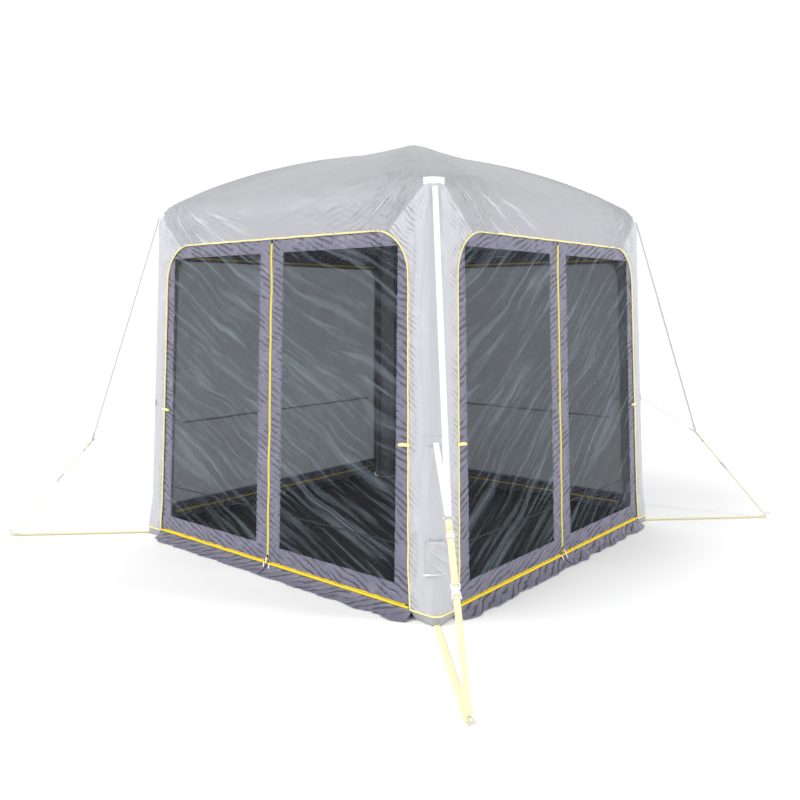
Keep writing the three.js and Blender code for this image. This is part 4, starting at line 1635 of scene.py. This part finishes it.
class BeamOperator(bpy.types.Operator):
    """Makes the inflated beams in their woven covers"""

    bl_idname = "screenhouse.beams"
    bl_label = "Air beams"

    def execute(self, context):
        for corner, name in enumerate(CORNERS):
            path = [leant(np.array(diagonal_place(corner, out, 0, up))) for out, up in self.line()]
            section = section_of(2 * BEAM_RADIUS, 2 * BEAM_RADIUS, 36)
            cover = sweep_into(bmesh.new(), path, section, diagonal_place(corner, 0, 1, 0))
            add_piece(f"air_beam_{name}_cover", cover, "beam", replaces=[f"air_beam_{name}"])
        return {"FINISHED"}

    def line(self):
        """The beam's centre in its corner's plane, from its foot to the crown."""
        leg = BEAM_INSET * math.sqrt(2)
        shoulder = (leg, self.arch(BEAM_INSET + 0.025)[1])
        leg_top = (leg, shoulder[1] - 0.11)
        arch_start = self.arch(1.15)
        points = [(leg, 0.021 + (leg_top[1] - 0.021) * i / 30) for i in range(30)]
        for i in range(13):
            t = i / 12
            a, b, c = (1 - t) ** 2, 2 * t * (1 - t), t * t
            knots = zip(leg_top, shoulder, arch_start)
            points.append(tuple(a * low + b * bend + c * high for low, bend, high in knots))
        points.extend(self.arch(1.15 * (1 - i / 30)) for i in range(1, 29))
        return points

    def arch(self, across):
        """Centre of the beam below the ridge."""
        fall = across / math.sqrt(DOME_RADIUS**2 - across**2) / math.sqrt(2)
        size = math.hypot(fall, 1)
        ridge = (across * math.sqrt(2), DOME_CENTRE + math.sqrt(DOME_RADIUS**2 - across**2))
        return ridge[0] - BEAM_DROP * fall / size, ridge[1] - BEAM_DROP / size


class FootOperator(bpy.types.Operator):
    """Makes the foot caps under the leg sleeves, drawn in to a tip with an eyelet"""

    bl_idname = "screenhouse.feet"
    bl_label = "Feet"

    def execute(self, context):
        for corner, name in enumerate(CORNERS):
            self.add_cap(corner, name)
            self.add_eyelet(corner, name)
        return {"FINISHED"}

    def add_cap(self, corner, name):
        """A cap that narrows downward, closed by a flat sole."""
        columns, rows = 60, 9
        along, level = np.meshgrid(np.linspace(-0.165, 0.165, columns), np.linspace(0, 1, rows))
        up = 0.0008 + (SLEEVE_FOOT - 0.0015) * level
        skinned = corner_skin(corner, along, up)
        centre = leant(np.array(diagonal_place(corner, BEAM_INSET * math.sqrt(2), 0, 0.0)))
        draw_in = (1 - level) ** 1.3 * (0.05 + 0.16 * smooth(np.abs(along), 0.02, 0.16))
        ripple = 1 - 0.012 * waves(along / 0.03 + 0.5 * level, 61 + corner) * (1 - level)
        pulled = centre + (skinned - centre) * ((0.985 - draw_in) * ripple)[..., None]
        points = np.concatenate([pulled[..., :2], up[..., None]], axis=-1)
        shape = bmesh.new()
        shape.from_mesh(grid_mesh(points, np.stack([along, up], axis=-1)))
        shape.verts.ensure_lookup_table()
        made = list(shape.verts)
        sole, lid = made[:columns], made[-columns:]
        inner_low = shape.verts.new((centre[0], centre[1], 0.0008))
        inner_high = shape.verts.new((centre[0], centre[1], float(up[-1, 0])))
        for i in range(columns - 1):
            shape.faces.new((sole[i + 1], sole[i], inner_low))
            shape.faces.new((lid[i], lid[i + 1], inner_high))
        for column in (0, columns - 1):
            shape.faces.new([inner_low, *made[column::columns], inner_high])
        add_piece(f"foot_cap_{name}", shape, "foot", replaces=[f"foot_pocket_{name}"])

    def add_eyelet(self, corner, name):
        """The eyelet of the ground strap, pressed into the tip of the cap."""
        out = diagonal_place(corner, 1, 0, 0)
        place = out.to_track_quat("Z", "Y").to_matrix().to_4x4()
        place.translation = diagonal_place(corner, 1.7585, 0, 0.026)
        outline = [(3.5, 0), (7.5, 0), (8.5, 1.2), (6.5, 2.6), (3.5, 1.6)]
        outline = [(radius * MM, height * MM) for radius, height in outline]
        eyelet = lathe_into(bmesh.new(), outline, place, 24)
        add_piece(f"foot_eyelet_{name}", eyelet, "metal")


def patch_mesh(corner, centre, size, lift, corner_round=0.25, relief=None, steps=(24, 24)):
    """A sewn patch that follows the skin, slightly domed, with rounded corners."""
    u, v = np.meshgrid(np.linspace(-1, 1, steps[0]), np.linspace(-1, 1, steps[1]))
    squeeze_u = 1 - corner_round * (np.abs(v) ** 8) * 0.5
    squeeze_v = 1 - corner_round * (np.abs(u) ** 8) * 0.5
    a = centre[0] + u * squeeze_u * size[0] / 2
    b = centre[1] + v * squeeze_v * size[1] / 2
    edge = np.clip(np.minimum(1 - np.abs(u), 1 - np.abs(v)) * 8, 0, 1) ** 0.5
    height = lift * (0.35 + 0.65 * edge)
    if relief is not None:
        height = height + relief(a, b) * edge
    points = relieved(corner_skin, corner, a, b, height)
    return grid_mesh(points, np.stack([a, b], axis=-1))


class TrimOperator(bpy.types.Operator):
    """Sews on the shoulder bands, leg patches, tie-back toggles and the valve flap"""

    bl_idname = "screenhouse.trim"
    bl_label = "Leg trim"

    def execute(self, context):
        for corner, name in enumerate(CORNERS):
            self.add_band(corner, name)
            self.add_leg_patch(corner, name)
            self.add_toggles(corner, name)
        self.add_valve_flap(0)
        return {"FINISHED"}

    def add_band(self, corner, name):
        """White webbing sewn round the shoulder, over the end of the shoulder strap."""
        along = np.linspace(-0.058, 0.058, 30)
        up = np.full_like(along, SHOULDER_BAND_UP)
        points = relieved(corner_skin, corner, along, up, 0.0045)
        band = sweep_into(bmesh.new(), points, section_of(0.05, 0.0022), (0, 0, 1))
        add_piece(f"shoulder_band_{name}", band, "white_web")

    def add_leg_patch(self, corner, name):
        """The patch that takes the pull of the mid-leg strap."""
        mesh = patch_mesh(corner, (0.0, LEG_PATCH_UP), (0.11, 0.05), 0.004)
        thicken(add_piece(f"leg_patch_{name}", mesh, "sleeve"), 0.001)

    def add_toggles(self, corner, name):
        """Pale loops on both piped edges, which tie the rolled doors back."""
        shape = bmesh.new()
        for hand in (-1, 1):
            share = np.linspace(0, 1, 16)
            along = hand * (0.150 + 0.075 * share)
            bulge = np.sin(math.pi * share)
            up = TIE_BACK_UP - 0.004 * share + 0.004 * bulge
            points = relieved(corner_skin, corner, along, up, 0.006 + 0.006 * bulge)
            sweep_into(shape, points, section_of(0.018, 0.005), (0, 0, 1))
            tip = relieved(corner_skin, corner, along[-3:], up[-3:], 0.0095)
            sweep_into(shape, tip, section_of(0.013, 0.013, 8))
        add_piece(f"tie_backs_{name}", shape, "piping")

    def add_valve_flap(self, corner):
        """The crumpled flap over the inflation valve, with a small strap across its foot."""
        def crumple(a, b):
            slant = creases(b / 0.13 + 0.9 * a / 0.13, 901) * 0.007
            cross = waves(b / 0.09 - 1.5 * a / 0.09, 902) * 0.0025
            return slant + cross - 0.003

        centre = (0.0, VALVE_FLAP_UP)
        mesh = patch_mesh(corner, centre, (0.1, 0.165), 0.0215, 0.3, crumple, (40, 60))
        thicken(add_piece("valve_flap", mesh, "sleeve"), 0.001)
        along = np.linspace(-0.06, 0.045, 24)
        points = relieved(corner_skin, corner, along, 0.252 + 0.006 * along / 0.05, 0.008)
        strap = sweep_into(bmesh.new(), points, section_of(0.012, 0.0024), (0, 0, 1))
        sweep_into(strap, points[:3], section_of(0.011, 0.011, 10))
        add_piece("valve_flap_strap", strap, "white_web")


class GroundsheetOperator(bpy.types.Operator):
    """Lays the groundsheet, with soft creases from folding"""

    bl_idname = "screenhouse.groundsheet"
    bl_label = "Groundsheet"

    def execute(self, context):
        half, notch = GROUND_FLAT[0] / 2, 1.1
        line = stepped((-half, -notch, 8), (-notch, notch, 130), (notch, half, 8))
        a, b = np.meshgrid(line, line)
        reach = np.maximum(np.abs(a), np.abs(b))
        inside = 1 - smooth(reach, 1.1, 1.27)
        fold_lines = ((a, -0.42), (a, 0.43), (b, 0.4), (b, -0.45))
        fold = sum(np.exp(-(((c - place) / 0.012) ** 2)) for c, place in fold_lines)
        crumple = np.clip(waves(a / 0.3 + b / 0.7, 71) * waves(b / 0.25 - a / 0.6, 72), 0, None)
        turned_up = 0.044 * smooth(reach, 1.258, half) ** 2
        height = 0.0022 + inside * (0.0025 * fold + 0.004 * crumple) + turned_up
        points = np.stack([a, b, height], axis=-1)
        keep = (middles(a) < notch) | (middles(b) < notch)
        mesh = grid_mesh(points, np.stack([a, b], axis=-1), keep)
        piece = add_piece("groundsheet_cloth", mesh, "floor", replaces=["groundsheet"])
        thicken(piece, 0.0015)
        return {"FINISHED"}


class ValveOperator(bpy.types.Operator):
    """Gives the inflation valve and its cap their moulded finish"""

    bl_idname = "screenhouse.valve"
    bl_label = "Valve"

    def execute(self, context):
        for node in ("inflation_valve", "valve_cap"):
            refinish(node, "valve")
        return {"FINISHED"}


class ScreenHousePanel(bpy.types.Panel):
    """Lists the steps that build the screen house"""

    bl_idname = "VIEW3D_PT_screen_house"
    bl_label = "Screen House"
    bl_space_type = "VIEW_3D"
    bl_region_type = "UI"
    bl_category = "Screen House"

    def draw(self, context):
        for group in (context.scene.screen_house_sizes, context.scene.screen_house_colours):
            for name in group.__annotations__:
                self.layout.prop(group, name)
        for step in STEPS:
            self.layout.operator(step.bl_idname)


STEPS = (
    StageOperator,
    GuyLineOperator,
    GuyHardwareOperator,
    RoofOperator,
    SleeveOperator,
    PipingOperator,
    DoorOperator,
    SkirtOperator,
    PlainWallOperator,
    ZipOperator,
    SliderOperator,
    BeamOperator,
    FootOperator,
    TrimOperator,
    GroundsheetOperator,
    ValveOperator,
)
CLASSES = (ScreenHouseSizes, ScreenHouseColours, *STEPS, ScreenHousePanel)


def register():
    for item in CLASSES:
        bpy.utils.register_class(item)
    bpy.types.Scene.screen_house_sizes = PointerProperty(type=ScreenHouseSizes)
    bpy.types.Scene.screen_house_colours = PointerProperty(type=ScreenHouseColours)


def unregister():
    del bpy.types.Scene.screen_house_sizes
    del bpy.types.Scene.screen_house_colours
    for item in reversed(CLASSES):
        bpy.utils.unregister_class(item)


def main():
    """Builds the whole object."""
    register()
    for step in STEPS:
        group, name = step.bl_idname.split(".")
        getattr(getattr(bpy.ops, group), name)()


if __name__ == "__main__":
    main()
